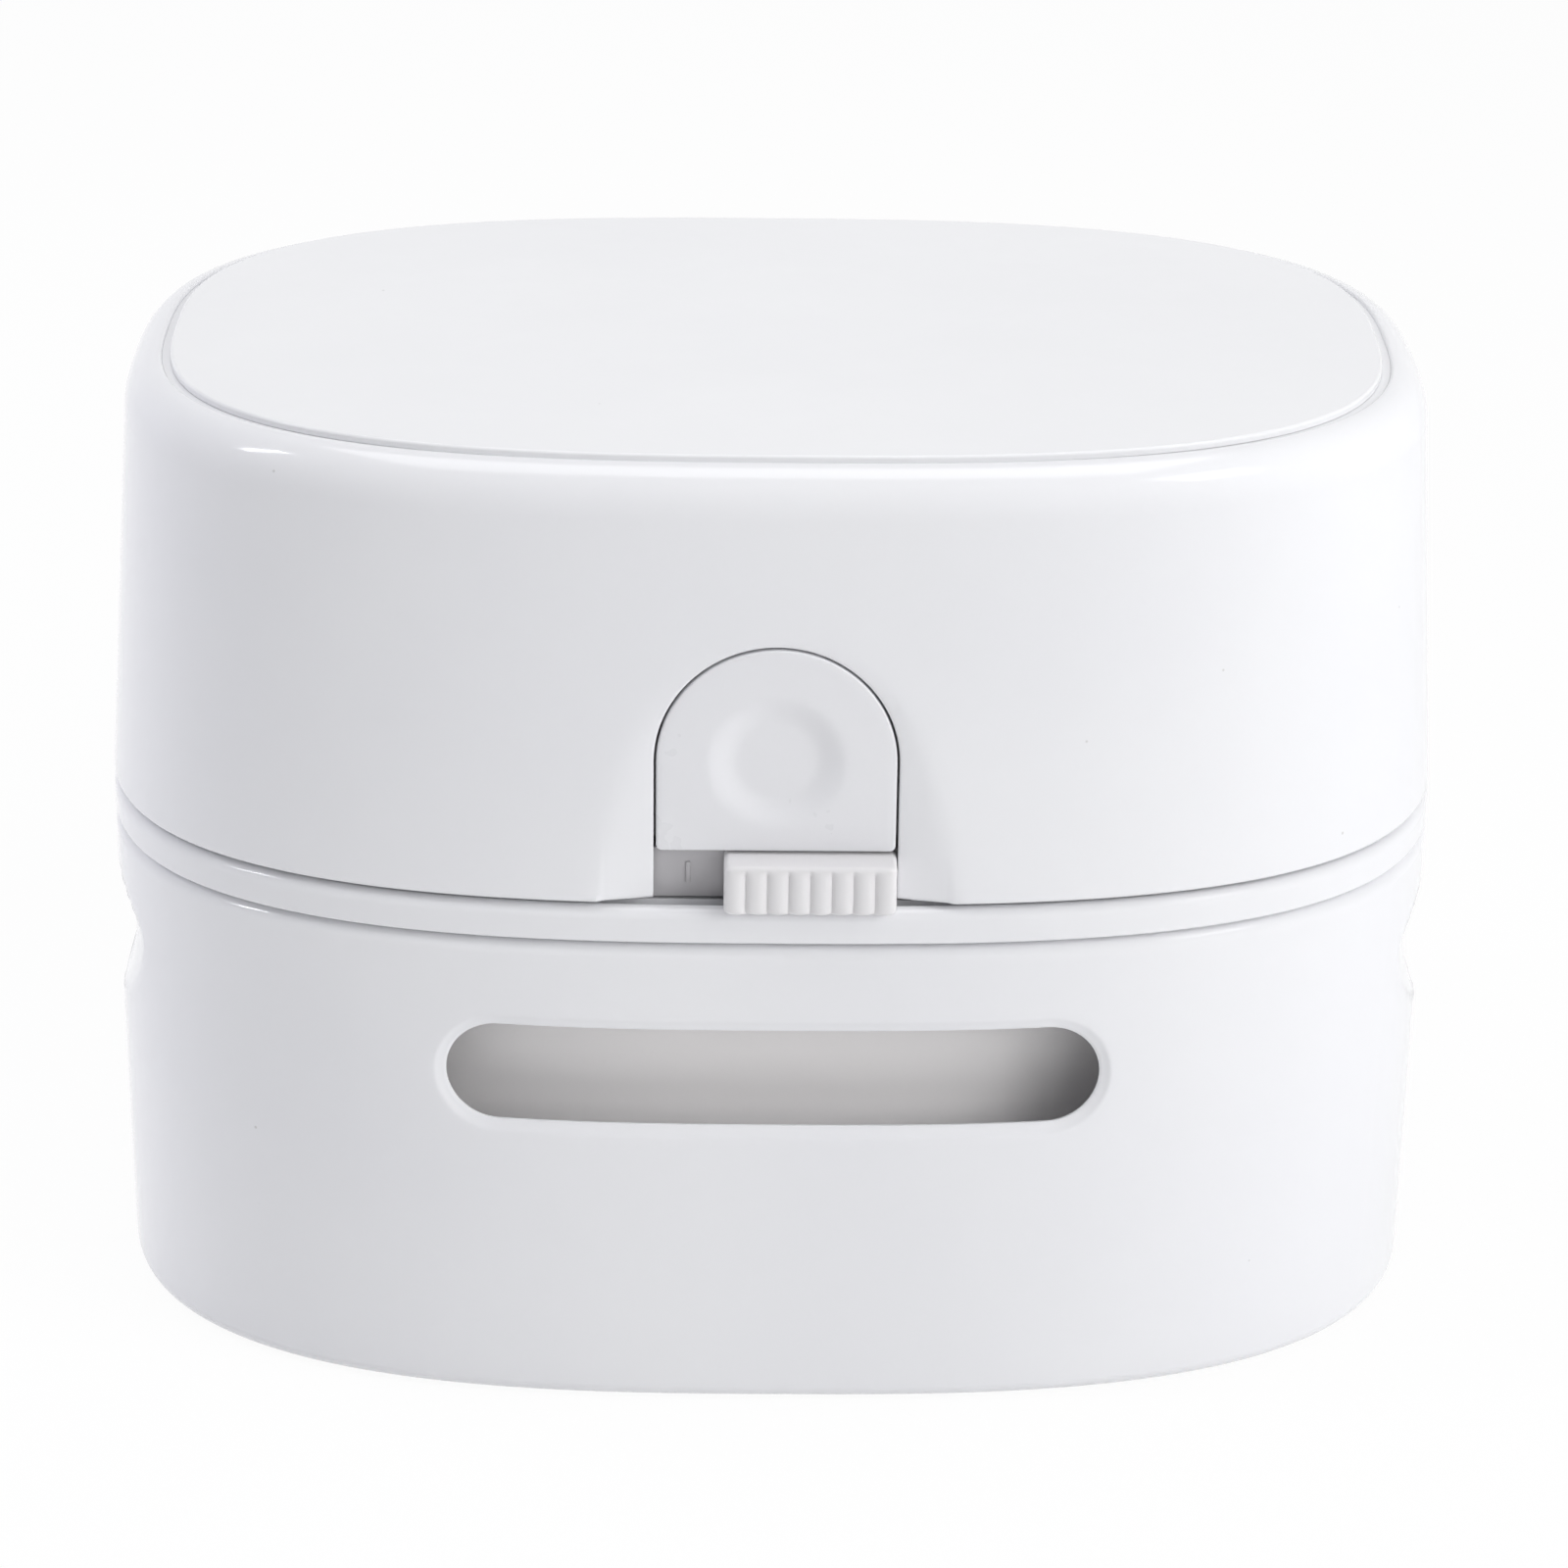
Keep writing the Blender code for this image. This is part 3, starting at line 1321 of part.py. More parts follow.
def build_filter():
    """The washable filter: a frame with a slotted grid, and the cloth lying on it."""
    outer = FAN_HOUSING_INSET + FAN_WALL + SEAT_GAP
    inner = outer + FILTER_FRAME_WALL
    low = SKIRT_FOOT_Z + SEAT_GAP
    grid_top = low + FILTER_GRID_THICKNESS
    top = low + FILTER_FRAME_HEIGHT
    profile = [(inner, grid_top), (inner, top), (outer, top), (outer, low)]
    frame = oval_loft("filter_frame", profile, GREY, INNER_SIDES)
    bite = HALF_DEPTH - inner
    for i in range(FILTER_SLOT_COUNT):
        x = (i - (FILTER_SLOT_COUNT - 1) / 2) * FILTER_SLOT_PITCH
        share = abs(x) / (HALF_WIDTH - inner)
        half_y = bite * (1 - share**OUTLINE_POWER) ** (1 / OUTLINE_POWER) - FILTER_FRAME_WALL
        slot = box(
            f"grid_slot_{i}",
            (x - FILTER_SLOT_WIDTH / 2, -half_y, low - CUT_OVERRUN),
            (x + FILTER_SLOT_WIDTH / 2, half_y, grid_top + CUT_OVERRUN),
        )
        boolean(frame, slot)
    cloth_low = grid_top + SEAT_GAP
    cloth_edge = inner + SEAT_GAP
    oval_loft(
        "filter_cloth",
        [(cloth_edge, cloth_low), (cloth_edge, cloth_low + FILTER_CLOTH_THICKNESS)],
        CLOTH,
        INNER_SIDES,
    )


def tray_half_length():
    inner = CELL_LENGTH + CELL_NUB_LENGTH + CELL_SPRING_LENGTH + 2 * CONTACT_THICKNESS
    return inner / 2 + 2 * SEAT_GAP + TRAY_WALL


def cell_axis_z():
    return CEILING_Z - SEAT_GAP - CELL_RADIUS - CELL_CLEARANCE


def build_cells():
    """Two AA cells lying front to back, each in a tray with a contact plate and a spring."""
    for name, side in (("left", -1), ("right", 1)):
        x = side * CELL_SPACING
        axis_z = cell_axis_z()
        half_x = CELL_RADIUS + CELL_CLEARANCE
        half_y = tray_half_length()
        floor = axis_z - CELL_RADIUS - CELL_CLEARANCE
        top = CEILING_Z - SEAT_GAP
        tray = box(
            f"battery_tray_{name}",
            (x - TRAY_HALF_WIDTH, -half_y, floor - TRAY_FLOOR),
            (x + TRAY_HALF_WIDTH, half_y, top),
            GREY,
        )
        cradle = cylinder(
            f"cradle_{name}",
            CELL_RADIUS + CELL_CLEARANCE,
            (x, -half_y + TRAY_WALL, axis_z),
            (x, half_y - TRAY_WALL, axis_z),
        )
        boolean(tray, cradle)
        mouth = box(
            f"tray_mouth_{name}",
            (x - half_x, -half_y + TRAY_WALL, axis_z),
            (x + half_x, half_y - TRAY_WALL, top + CUT_OVERRUN),
        )
        boolean(tray, mouth)
        end = -side * (half_y - TRAY_WALL)
        inwards = side
        plate_back = end + inwards * SEAT_GAP
        y0, y1 = sorted((plate_back, plate_back + inwards * CONTACT_THICKNESS))
        box(
            f"battery_contact_{name}",
            (x - CONTACT_WIDTH / 2, y0, axis_z - CONTACT_HEIGHT / 2),
            (x + CONTACT_WIDTH / 2, y1, axis_z + CONTACT_HEIGHT / 2),
            NICKEL,
        )
        nub_tip = plate_back + inwards * (CONTACT_THICKNESS + SEAT_GAP)
        cell = turned(
            f"battery_{name}",
            [
                (0, CELL_NUB_LENGTH),
                (CELL_NUB_RADIUS, CELL_NUB_LENGTH),
                (CELL_NUB_RADIUS, 0),
                (CELL_RADIUS - CELL_EDGE, 0),
                (CELL_RADIUS, -CELL_EDGE),
                (CELL_RADIUS, CELL_EDGE - CELL_LENGTH),
                (CELL_RADIUS - CELL_EDGE, -CELL_LENGTH),
                (0, -CELL_LENGTH),
            ],
            CELL_SLEEVE,
        )
        cell.rotation_euler = (inwards * math.pi / 2, 0, 0)
        cell.location = (x, nub_tip + inwards * CELL_NUB_LENGTH, axis_z)
        spring_back = -end - inwards * (SEAT_GAP + CELL_SPRING_WIRE / 2)
        spring_tip = (
            nub_tip
            + inwards * (CELL_NUB_LENGTH + CELL_LENGTH + SEAT_GAP + CELL_SPRING_WIRE / 2)
        )
        coil(
            f"battery_spring_{name}",
            (CELL_SPRING_RADIUS, CELL_SPRING_TIP),
            CELL_SPRING_WIRE,
            CELL_SPRING_TURNS,
            (x, spring_back, axis_z),
            (0, spring_tip - spring_back, 0),
            NICKEL,
        )


def build_screw(name, x, y, head_top):
    """A small pan-head screw pointing up, its head below head_top, with a drive recess."""
    screw = cylinder(
        name,
        SCREW_HEAD_RADIUS,
        (x, y, head_top - SCREW_HEAD_HEIGHT),
        (x, y, head_top),
        STEEL,
        SMALL_SIDES,
    )
    shank = cylinder(
        f"{name}_shank",
        SCREW_RADIUS,
        (x, y, head_top - SCREW_HEAD_HEIGHT / 2),
        (x, y, head_top + SCREW_LENGTH),
        sides=SMALL_SIDES,
    )
    boolean(screw, shank, "UNION")
    recess = cylinder(
        f"{name}_recess",
        SCREW_RECESS_RADIUS,
        (x, y, head_top - SCREW_HEAD_HEIGHT - CUT_OVERRUN),
        (x, y, head_top - SCREW_HEAD_HEIGHT + SCREW_RECESS_DEPTH),
        sides=6,
    )
    return boolean(screw, recess)


def build_screws():
    for i, (x, y) in enumerate(boss_places()):
        build_screw(f"chassis_screw_{i + 1}", x, y, BAND_Z - SEAT_GAP)
    for i, side in enumerate((-1, 1)):
        build_screw(f"fan_screw_{i + 1}", side * FAN_POST_REACH, 0, FAN_FLOOR_HEIGHT - SEAT_GAP)


def main():
    build_lower_housing()
    build_base_plate()
    build_nozzle()
    build_brush()
    build_gasket()
    build_latch_fork()
    build_chassis()
    build_upper_housing()
    build_top_cover()
    build_release_button()
    build_button_spring()
    build_switch_plate()
    build_switch_knob()
    build_slide_switch()
    build_motor()
    build_rotor()
    build_fan_housing()
    build_filter()
    build_cells()
    build_screws()


main()
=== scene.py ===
"""Desktop mini vacuum cleaner: detailed shells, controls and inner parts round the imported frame."""

import math

import bmesh
import bpy
from mathutils import Matrix, Vector


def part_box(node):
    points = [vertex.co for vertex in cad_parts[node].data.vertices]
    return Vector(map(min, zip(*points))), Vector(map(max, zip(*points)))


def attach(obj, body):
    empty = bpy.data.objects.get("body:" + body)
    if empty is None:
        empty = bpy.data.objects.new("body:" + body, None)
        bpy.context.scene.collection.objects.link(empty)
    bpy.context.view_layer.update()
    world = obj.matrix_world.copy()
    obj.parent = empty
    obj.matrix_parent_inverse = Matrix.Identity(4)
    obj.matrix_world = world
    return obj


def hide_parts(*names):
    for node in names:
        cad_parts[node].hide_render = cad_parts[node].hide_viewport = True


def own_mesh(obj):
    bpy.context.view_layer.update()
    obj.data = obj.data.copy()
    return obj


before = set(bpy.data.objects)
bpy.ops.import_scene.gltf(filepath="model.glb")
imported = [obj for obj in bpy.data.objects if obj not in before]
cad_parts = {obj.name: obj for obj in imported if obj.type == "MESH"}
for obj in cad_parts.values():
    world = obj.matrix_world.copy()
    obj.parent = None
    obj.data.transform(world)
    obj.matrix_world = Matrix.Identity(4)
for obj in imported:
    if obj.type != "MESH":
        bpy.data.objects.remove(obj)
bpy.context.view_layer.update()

# Body outline and levels
BODY_WIDTH = 0.116
BODY_DEPTH = 0.078
OUTLINE_POWER = 2.8
HALF_WIDTH = BODY_WIDTH / 2
HALF_DEPTH = BODY_DEPTH / 2
WALL = 0.002
SEAT_GAP = 0.0003
CUT_OVERRUN = 0.001
COARSE_STEP = 0.0014
END_STEP = 0.0006
FACE_STEP = 0.0003
ROW_STEP = 0.0012

# Lower housing
SEAM_Z = 0.0429
LOWER_TAPER = 0.0003
LOWER_TAPER_HEIGHT = 0.026
BASE_ROUND = 0.0014
BASE_RIM_WALL = 0.0028
SEAM_ROUND = 0.0012
PLATE_SEAT_HEIGHT = 0.0042
PLATE_SEAT_THICKNESS = 0.0012
PLATE_SEAT_WIDTH = 0.0026
LEDGE_HEIGHT = 0.020
LEDGE_THICKNESS = 0.0014
LEDGE_REACH = 0.0095
GRIP_HEIGHT = 0.0343
GRIP_RISE = 0.0046
GRIP_FALL = 0.0098
GRIP_HALF_LENGTH = 0.0205
GRIP_DEPTH = 0.002
GRIP_EDGE_POWER = 0.85
SLOT_LENGTH = 0.0548
SLOT_HEIGHT = 0.0088
SLOT_CENTRE_HEIGHT = 0.0307
SLOT_EDGE_WIDTH = 0.0011
SLOT_EDGE_DEPTH = 0.00042
SLOT_LIP = 0.00025
SLOT_UNDERCUT = 0.001

# Base plate, nozzle, brush and dust seal
PLATE_Z = PLATE_SEAT_HEIGHT + SEAT_GAP
PLATE_THICKNESS = 0.0018
PLATE_TOP_Z = PLATE_Z + PLATE_THICKNESS
PLATE_EDGE_ROUND = 0.0004
NOZZLE_LENGTH = 0.034
NOZZLE_WIDTH = 0.014
NOZZLE_WALL = 0.0014
NOZZLE_HEIGHT = 0.0095
NOZZLE_FLANGE = 0.0016
NOZZLE_FLANGE_THICKNESS = 0.001
NOZZLE_ROUND = 0.0005
BRUSH_MARGIN = 0.0032
BRUSH_WIDTH = 0.0022
BRUSH_BACKING = 0.0009
BRUSH_GROUND_GAP = 0.0003
TUFTS = 96
TUFT_BRISTLES = 9
TUFT_RADIUS = 0.00072
BRISTLE_RADIUS = 0.00011
BRISTLE_SPLAY = 0.0006
GASKET_WIDTH = 0.0024
GASKET_THICKNESS = 0.001
FAN_HOUSING_INSET = 0.008
FAN_WALL = 0.0018
GUIDE_INSET = 0.0071
GUIDE_LEFT_X = -0.0315
GUIDE_RIGHT_X = 0.031
GUIDE_BEND_X = 0.0195
GUIDE_BEND_LENGTH = 0.0055
GUIDE_BEND_DEPTH = 0.0
GUIDE_LOW_Z = 0.0215
GUIDE_HIGH_Z = 0.0365
GUIDE_END_ROUND = 0.0026
GUIDE_CORNER = 0.0008

# Chassis
BAND_HEIGHT = 0.0029
BAND_SHOULDER = 0.001
BAND_CREST = 0.00015
BAND_GROOVE = 0.0008
SEAM_REBATE = 0.0008
BAND_Z = SEAM_Z + SEAT_GAP
DECK_Z = BAND_Z + BAND_HEIGHT
SHADOW_GAP = 0.0006
SHELL_Z = DECK_Z + SHADOW_GAP
SPIGOT_WALL = 0.0018
SPIGOT_RISE = 0.0035
SKIRT_DROP = 0.0035
LATCH_CUT_CLEARANCE = 0.0012
BAND_FOOT_ROUND = 0.0003

# Upper housing
UPPER_HEIGHT = 0.0363
UPPER_TAPER = 0.0021
RIM_WIDTH = 0.0033
RIM_ROUND_HEIGHT = 0.0038
RIM_LIP = 0.0003
RIM_GROWTH = 0.00048
GROOVE_STEP = 0.001
GROOVE_DEPTH = 0.00022
RIM_Z = SHELL_Z + UPPER_HEIGHT
SHOULDER_Z = RIM_Z - RIM_ROUND_HEIGHT
RIM_INSET = UPPER_TAPER + RIM_WIDTH
RECESS_Z = RIM_Z - 0.0023
FLOOR_THICKNESS = 0.002
CEILING_Z = RECESS_Z - FLOOR_THICKNESS
CEILING_ROUND = 0.0015
SHELL_FOOT_ROUND = 0.0004
BOSS_RADIUS = 0.003
BOSS_REACH_X = 0.040
BOSS_REACH_Y = 0.014

# Top cover
COVER_GAP = 0.00025
COVER_END_GAP = 0.0005
COVER_Z = RIM_Z + 0.0009
COVER_THICKNESS = 0.0016
COVER_EDGE_ROUND = 0.00025
COVER_SKIRT = 0.0016
COVER_RIB_LENGTH = 0.03
COVER_RIB_WIDTH = 0.0012

# Slide switch knob
KNOB_WIDTH = 0.0142
KNOB_HEIGHT = 0.0044
KNOB_GAP = 0.00025
KNOB_PROUD = 0.0013
KNOB_RIBS = 8
KNOB_RIB_HEIGHT = 0.00032
KNOB_RIB_FADE = 0.0007
KNOB_RIB_STEPS = 14
KNOB_EDGE_ROUND = 0.00045
KNOB_CORNER_ROUND = 0.0006
KNOB_STEM_WIDTH = 0.0022
KNOB_STEM_HEIGHT = 0.0022
KNOB_Z = DECK_Z + KNOB_GAP + KNOB_HEIGHT / 2
MARK_X = -0.0072
MARK_Z = KNOB_Z
MARK_WIDTH = 0.0004
MARK_HEIGHT = 0.0019
MARK_PROUD = 0.00018
KNOB_TOP_Z = KNOB_Z + KNOB_HEIGHT / 2

# Release button in its arched notch
BUTTON_WIDTH = 0.0197
BUTTON_GAP = 0.0002
BUTTON_STRAIGHT = 0.00785
BUTTON_THICKNESS = 0.0023
BUTTON_FLANGE = 0.001
BUTTON_EDGE_ROUND = 0.0002
BUTTON_CORNER_ROUND = 0.0005
BUTTON_FOOT_Z = KNOB_TOP_Z + KNOB_GAP
ARCH_RADIUS = BUTTON_WIDTH / 2
ARCH_Z = BUTTON_FOOT_Z + BUTTON_STRAIGHT
NOTCH_HALF_WIDTH = ARCH_RADIUS + BUTTON_GAP
DISH_RADIUS = 0.006
DISH_FLAT_RADIUS = 0.0031
DISH_DEPTH = 0.0006
DISH_RINGS = 26
PUSHER_WIDTH = 0.005
PUSHER_HEIGHT = 0.003
NOTCH_EDGE_ROUND = 0.00018
NOTCH_CORNER_ROUND = 0.00025
HALO_GROWTH = 0.0041
HALO_DEPTH = 0.0008
HALO_SOFTNESS = 0.00028
HALO_REACH = 0.0145
KNOB_TRAVEL = 0.0057
KNOB_X = 0.00285

# Return spring and latch
SPRING_RADIUS = 0.0024
SPRING_WIRE = 0.0005
SPRING_TURNS = 4
SPRING_PIN_RADIUS = 0.0015
SPRING_PIN_LENGTH = 0.0022
SPRING_Z = BUTTON_FOOT_Z + 0.0105
BRACKET_WIDTH = 0.009
BRACKET_THICKNESS = 0.0018
FORK_LEG_WIDTH = 0.003
FORK_LEG_REACH = 0.0102
FORK_THICKNESS = 0.0014
FORK_BAR_HEIGHT = 0.0036
FORK_BAR_Z = BUTTON_FOOT_Z + 0.0018
CATCH_HEIGHT = 0.0032
CATCH_THICKNESS = 0.001
BUTTON_TRAVEL = 0.002


def lower_inset(z):
    return LOWER_TAPER * max(1 - z / LOWER_TAPER_HEIGHT, 0.0) ** 1.5


def upper_inset(z):
    return UPPER_TAPER * (z - SHELL_Z) / (SHOULDER_Z - SHELL_Z)


FACE_Y = -(HALF_DEPTH - upper_inset(ARCH_Z + ARCH_RADIUS))
FLANGE_Y = FACE_Y + BUTTON_THICKNESS
FLANGE_BACK_Y = FLANGE_Y + BUTTON_FLANGE
FORK_Y = FLANGE_BACK_Y + 2 * SEAT_GAP
PANEL_Y = FACE_Y + 0.0013
PANEL_THICKNESS = 0.001
PANEL_MARGIN = 0.0018
SWITCH_Y = PANEL_Y + PANEL_THICKNESS + SEAT_GAP
BRACKET_Y = SWITCH_Y + 0.0042 + 0.0024 + SEAT_GAP

# Motor collar and fan posts on the chassis
MOTOR_RADIUS = 0.01005
MOTOR_COLLAR_WALL = 0.0014
MOTOR_COLLAR_HEIGHT = 0.006
MOTOR_NOSE_RADIUS = 0.003
SCREW_RADIUS = 0.001
SCREW_HOLE_PLAY = 0.0002
SCREW_LENGTH = 0.007
FAN_FLOOR_HEIGHT = 0.030
FAN_FLOOR_THICKNESS = 0.0016
FAN_POST_RADIUS = 0.0028
FAN_POST_REACH = 0.036

# Cells and filter
CELL_RADIUS = 0.0071
CELL_CLEARANCE = 0.0004
CELL_SPACING = 0.0255
CELL_LENGTH = 0.0495
CELL_NUB_LENGTH = 0.001
CELL_NUB_RADIUS = 0.00275
CELL_SPRING_LENGTH = 0.0028
CELL_SPRING_WIRE = 0.0006
CELL_SPRING_RADIUS = 0.0036
CELL_SPRING_TIP = 0.0018
CELL_SPRING_TURNS = 3
CONTACT_THICKNESS = 0.0004
TRAY_WALL = 0.0014
FILTER_FRAME_WALL = 0.0018
FILTER_CLOTH_THICKNESS = 0.0012

WORK = bpy.data.collections.new("desktop_vacuum_looks")
bpy.context.scene.collection.children.link(WORK)


# Meshes

def add_object(name, mesh, material=None):
    obj = bpy.data.objects.new(name, mesh)
    WORK.objects.link(obj)
    if material:
        obj.data.materials.clear()
        obj.data.materials.append(material)
    return obj


def mesh_of(name, shape):
    bmesh.ops.recalc_face_normals(shape, faces=shape.faces)
    mesh = bpy.data.meshes.new(name)
    shape.to_mesh(mesh)
    shape.free()
    return mesh


def loft(name, rings, material=None, closed=False):
    """Skins rings of equal count; an open loft is capped at both ends, a closed one joins them."""
    shape = bmesh.new()
    loops = [[shape.verts.new(point) for point in ring] for ring in rings]
    pairs = list(zip(loops, loops[1:]))
    if closed:
        pairs.append((loops[-1], loops[0]))
    count = len(loops[0])
    for low, high in pairs:
        for i in range(count):
            j = (i + 1) % count
            shape.faces.new((low[i], low[j], high[j], high[i]))
    if not closed:
        shape.faces.new(loops[0])
        shape.faces.new(loops[-1])
    return add_object(name, mesh_of(name, shape), material)


def box(name, low, high):
    shape = bmesh.new()
    bmesh.ops.create_cube(shape, size=1)
    bmesh.ops.scale(shape, vec=Vector(high) - Vector(low), verts=shape.verts)
    bmesh.ops.translate(shape, vec=(Vector(high) + Vector(low)) / 2, verts=shape.verts)
    return add_object(name, mesh_of(name, shape))


def round_bar(name, radius, low, high, sides=48):
    """A cylinder from point low to point high."""
    low, high = Vector(low), Vector(high)
    shape = bmesh.new()
    bmesh.ops.create_cone(
        shape,
        cap_ends=True,
        segments=sides,
        radius1=radius,
        radius2=radius,
        depth=(high - low).length,
    )
    turn = (high - low).to_track_quat("Z", "Y").to_matrix().to_4x4()
    bmesh.ops.transform(shape, matrix=turn, verts=shape.verts)
    bmesh.ops.translate(shape, vec=(low + high) / 2, verts=shape.verts)
    return add_object(name, mesh_of(name, shape))


def combine(target, other, operation="DIFFERENCE"):
    """Applies a Boolean at once and removes the helper."""
    modifier = target.modifiers.new("shape", "BOOLEAN")
    modifier.operation = operation
    modifier.solver = "EXACT"
    modifier.object = other
    bpy.context.view_layer.update()
    depsgraph = bpy.context.evaluated_depsgraph_get()
    made = bpy.data.meshes.new_from_object(target.evaluated_get(depsgraph))
    old = target.data
    target.modifiers.clear()
    target.data = made
    bpy.data.meshes.remove(old)
    spare = other.data
    bpy.data.objects.remove(other)
    bpy.data.meshes.remove(spare)
    return target


def finish_surface(obj, angle=math.radians(32), bevel=0.0, segments=2):
    """Smooth shading that keeps true edges, with normals weighted by face area."""
    obj.data.shade_smooth()
    if bevel:
        edge = obj.modifiers.new("soft edges", "BEVEL")
        edge.width = bevel
        edge.segments = segments
        edge.limit_method = "ANGLE"
        edge.angle_limit = math.radians(40)
        edge.harden_normals = False
        depsgraph = bpy.context.evaluated_depsgraph_get()
        made = bpy.data.meshes.new_from_object(obj.evaluated_get(depsgraph))
        obj.modifiers.clear()
        obj.data = made
    obj.data.set_sharp_from_angle(angle=angle)
    weighted = obj.modifiers.new("weighted normals", "WEIGHTED_NORMAL")
    weighted.keep_sharp = True
    weighted.weight = 60
    return obj


def arc(centre, radii, start, end, steps):
    points = []
    for step in range(steps + 1):
        angle = math.radians(start + (end - start) * step / steps)
        points.append(
            (centre[0] + radii[0] * math.cos(angle), centre[1] + radii[1] * math.sin(angle))
        )
    return points


def rows(low, high, step):
    count = max(1, round((high - low) / step))
    return [low + (high - low) * i / count for i in range(count + 1)]


def superellipse(turn):
    cosine, sine = math.cos(turn), math.sin(turn)
    return (
        math.copysign(abs(cosine) ** (2 / OUTLINE_POWER), cosine),
        math.copysign(abs(sine) ** (2 / OUTLINE_POWER), sine),
    )


def outline_turns(spacing):
    """Turns round the outline at a given spacing of (x, y), quadrant by quadrant."""
    turns = []
    fine = 2000
    for quadrant in range(4):
        walked, places = [0.0], [quadrant * math.pi / 2]
        before = None
        for step in range(fine + 1):
            turn = (quadrant + step / fine) * math.pi / 2
            u, v = superellipse(turn)
            here = Vector((u * HALF_WIDTH, v * HALF_DEPTH))
            if before is not None:
                walked.append(walked[-1] + (here - before).length / spacing(here))
                places.append(turn)
            before = here
        count = math.ceil(walked[-1])
        index = 0
        for i in range(count):
            goal = walked[-1] * i / count
            while walked[index + 1] < goal:
                index += 1
            share = (goal - walked[index]) / max(walked[index + 1] - walked[index], 1e-12)
            turns.append(places[index] + (places[index + 1] - places[index]) * share)
    return turns


def lower_spacing(place):
    return END_STEP if abs(place.y) < GRIP_HALF_LENGTH + 0.003 else COARSE_STEP


def upper_spacing(place):
    return FACE_STEP if abs(place.x) < HALO_REACH and place.y < 0 else COARSE_STEP


PLAIN_TURNS = outline_turns(lambda place: COARSE_STEP)
LOWER_TURNS = outline_turns(lower_spacing)
UPPER_TURNS = outline_turns(upper_spacing)


def oval_ring(inset, z, turns=PLAIN_TURNS):
    ring = []
    for turn in turns:
        u, v = superellipse(turn)
        ring.append(Vector((u * (HALF_WIDTH - inset), v * (HALF_DEPTH - inset), z)))
    return ring


def front_y(x, inset):
    share = min(abs(x) / (HALF_WIDTH - inset), 1)
    return -(HALF_DEPTH - inset) * (1 - share**OUTLINE_POWER) ** (1 / OUTLINE_POWER)


def oval_loft(name, profile, material=None, turns=PLAIN_TURNS, closed=False):
    rings = [oval_ring(inset, z, turns) for inset, z in profile]
    return loft(name, rings, material, closed)


def stadium(length, width, step=0.0006):
    """Points and outward directions round a slot outline, evenly spaced."""
    radius, reach = width / 2, (length - width) / 2
    bend, straight = math.pi * radius, 2 * reach
    total = 2 * (bend + straight)
    count = round(total / step)
    points = []
    for i in range(count):
        walked = total * i / count
        side = 1 if walked < bend + straight else -1
        walked -= 0 if side == 1 else bend + straight
        if walked < straight:
            points.append((Vector((side * (reach - walked), side * radius)), Vector((0, side))))
            continue
        turn = math.pi / 2 + (walked - straight) / radius
        outward = Vector((math.cos(turn), math.sin(turn))) * side
        points.append((Vector((-side * reach, 0)) + outward * radius, outward))
    return points


def stadium_rings(sections, step=0.0006, length=NOZZLE_LENGTH, width=NOZZLE_WIDTH):
    outline = stadium(length, width, step)
    return [
        [Vector((*(point + outward * growth), z)) for point, outward in outline]
        for growth, z in sections
    ]


def coil_points(radii, turns, start, along, per_turn=28, closed_ends=0.75):
    """A compression spring's centreline, with flat end turns."""
    start, along = Vector(start), Vector(along)
    side = Vector((0, 0, 1))
    other = along.normalized().cross(side)
    count = round(turns * per_turn)
    points = []
    for i in range(count + 1):
        share = i / count
        turn = 2 * math.pi * turns * share
        dead = closed_ends / turns / 2
        climb = min(max((share - dead) / (1 - 2 * dead), 0), 1)
        radius = radii[0] + (radii[1] - radii[0]) * share
        around = side * math.cos(turn) + other * math.sin(turn)
        points.append(start + along * climb + around * radius)
    return points


def wire(name, points, diameter, material, sides=10):
    """A round wire along points, as a closed mesh with rounded ends."""
    rings = []
    for i, point in enumerate(points):
        ahead = points[min(i + 1, len(points) - 1)] - points[max(i - 1, 0)]
        turn = ahead.to_track_quat("Z", "Y")
        ring = []
        for side in range(sides):
            angle = 2 * math.pi * side / sides
            spoke = turn @ Vector((math.cos(angle), math.sin(angle), 0))
            ring.append(point + spoke * diameter / 2)
        rings.append(ring)
    obj = loft(name, rings, material)
    return finish_surface(obj, math.radians(60))


# Materials

def value_noise(nodes, scale, detail=2.0, roughness=0.5):
    noise = nodes.new("ShaderNodeTexNoise")
    noise.inputs["Scale"].default_value = scale
    noise.inputs["Detail"].default_value = detail
    noise.inputs["Roughness"].default_value = roughness
    return noise


def remap(nodes, low, high, to_low, to_high):
    node = nodes.new("ShaderNodeMapRange")
    node.inputs["From Min"].default_value = low
    node.inputs["From Max"].default_value = high
    node.inputs["To Min"].default_value = to_low
    node.inputs["To Max"].default_value = to_high
    return node


def new_group(name, inputs, outputs):
    group = bpy.data.node_groups.new(name, "ShaderNodeTree")
    for label, kind, default in inputs:
        socket = group.interface.new_socket(label, in_out="INPUT", socket_type=kind)
        socket.default_value = default
    for label, kind in outputs:
        group.interface.new_socket(label, in_out="OUTPUT", socket_type=kind)
    return group, group.nodes.new("NodeGroupInput"), group.nodes.new("NodeGroupOutput")


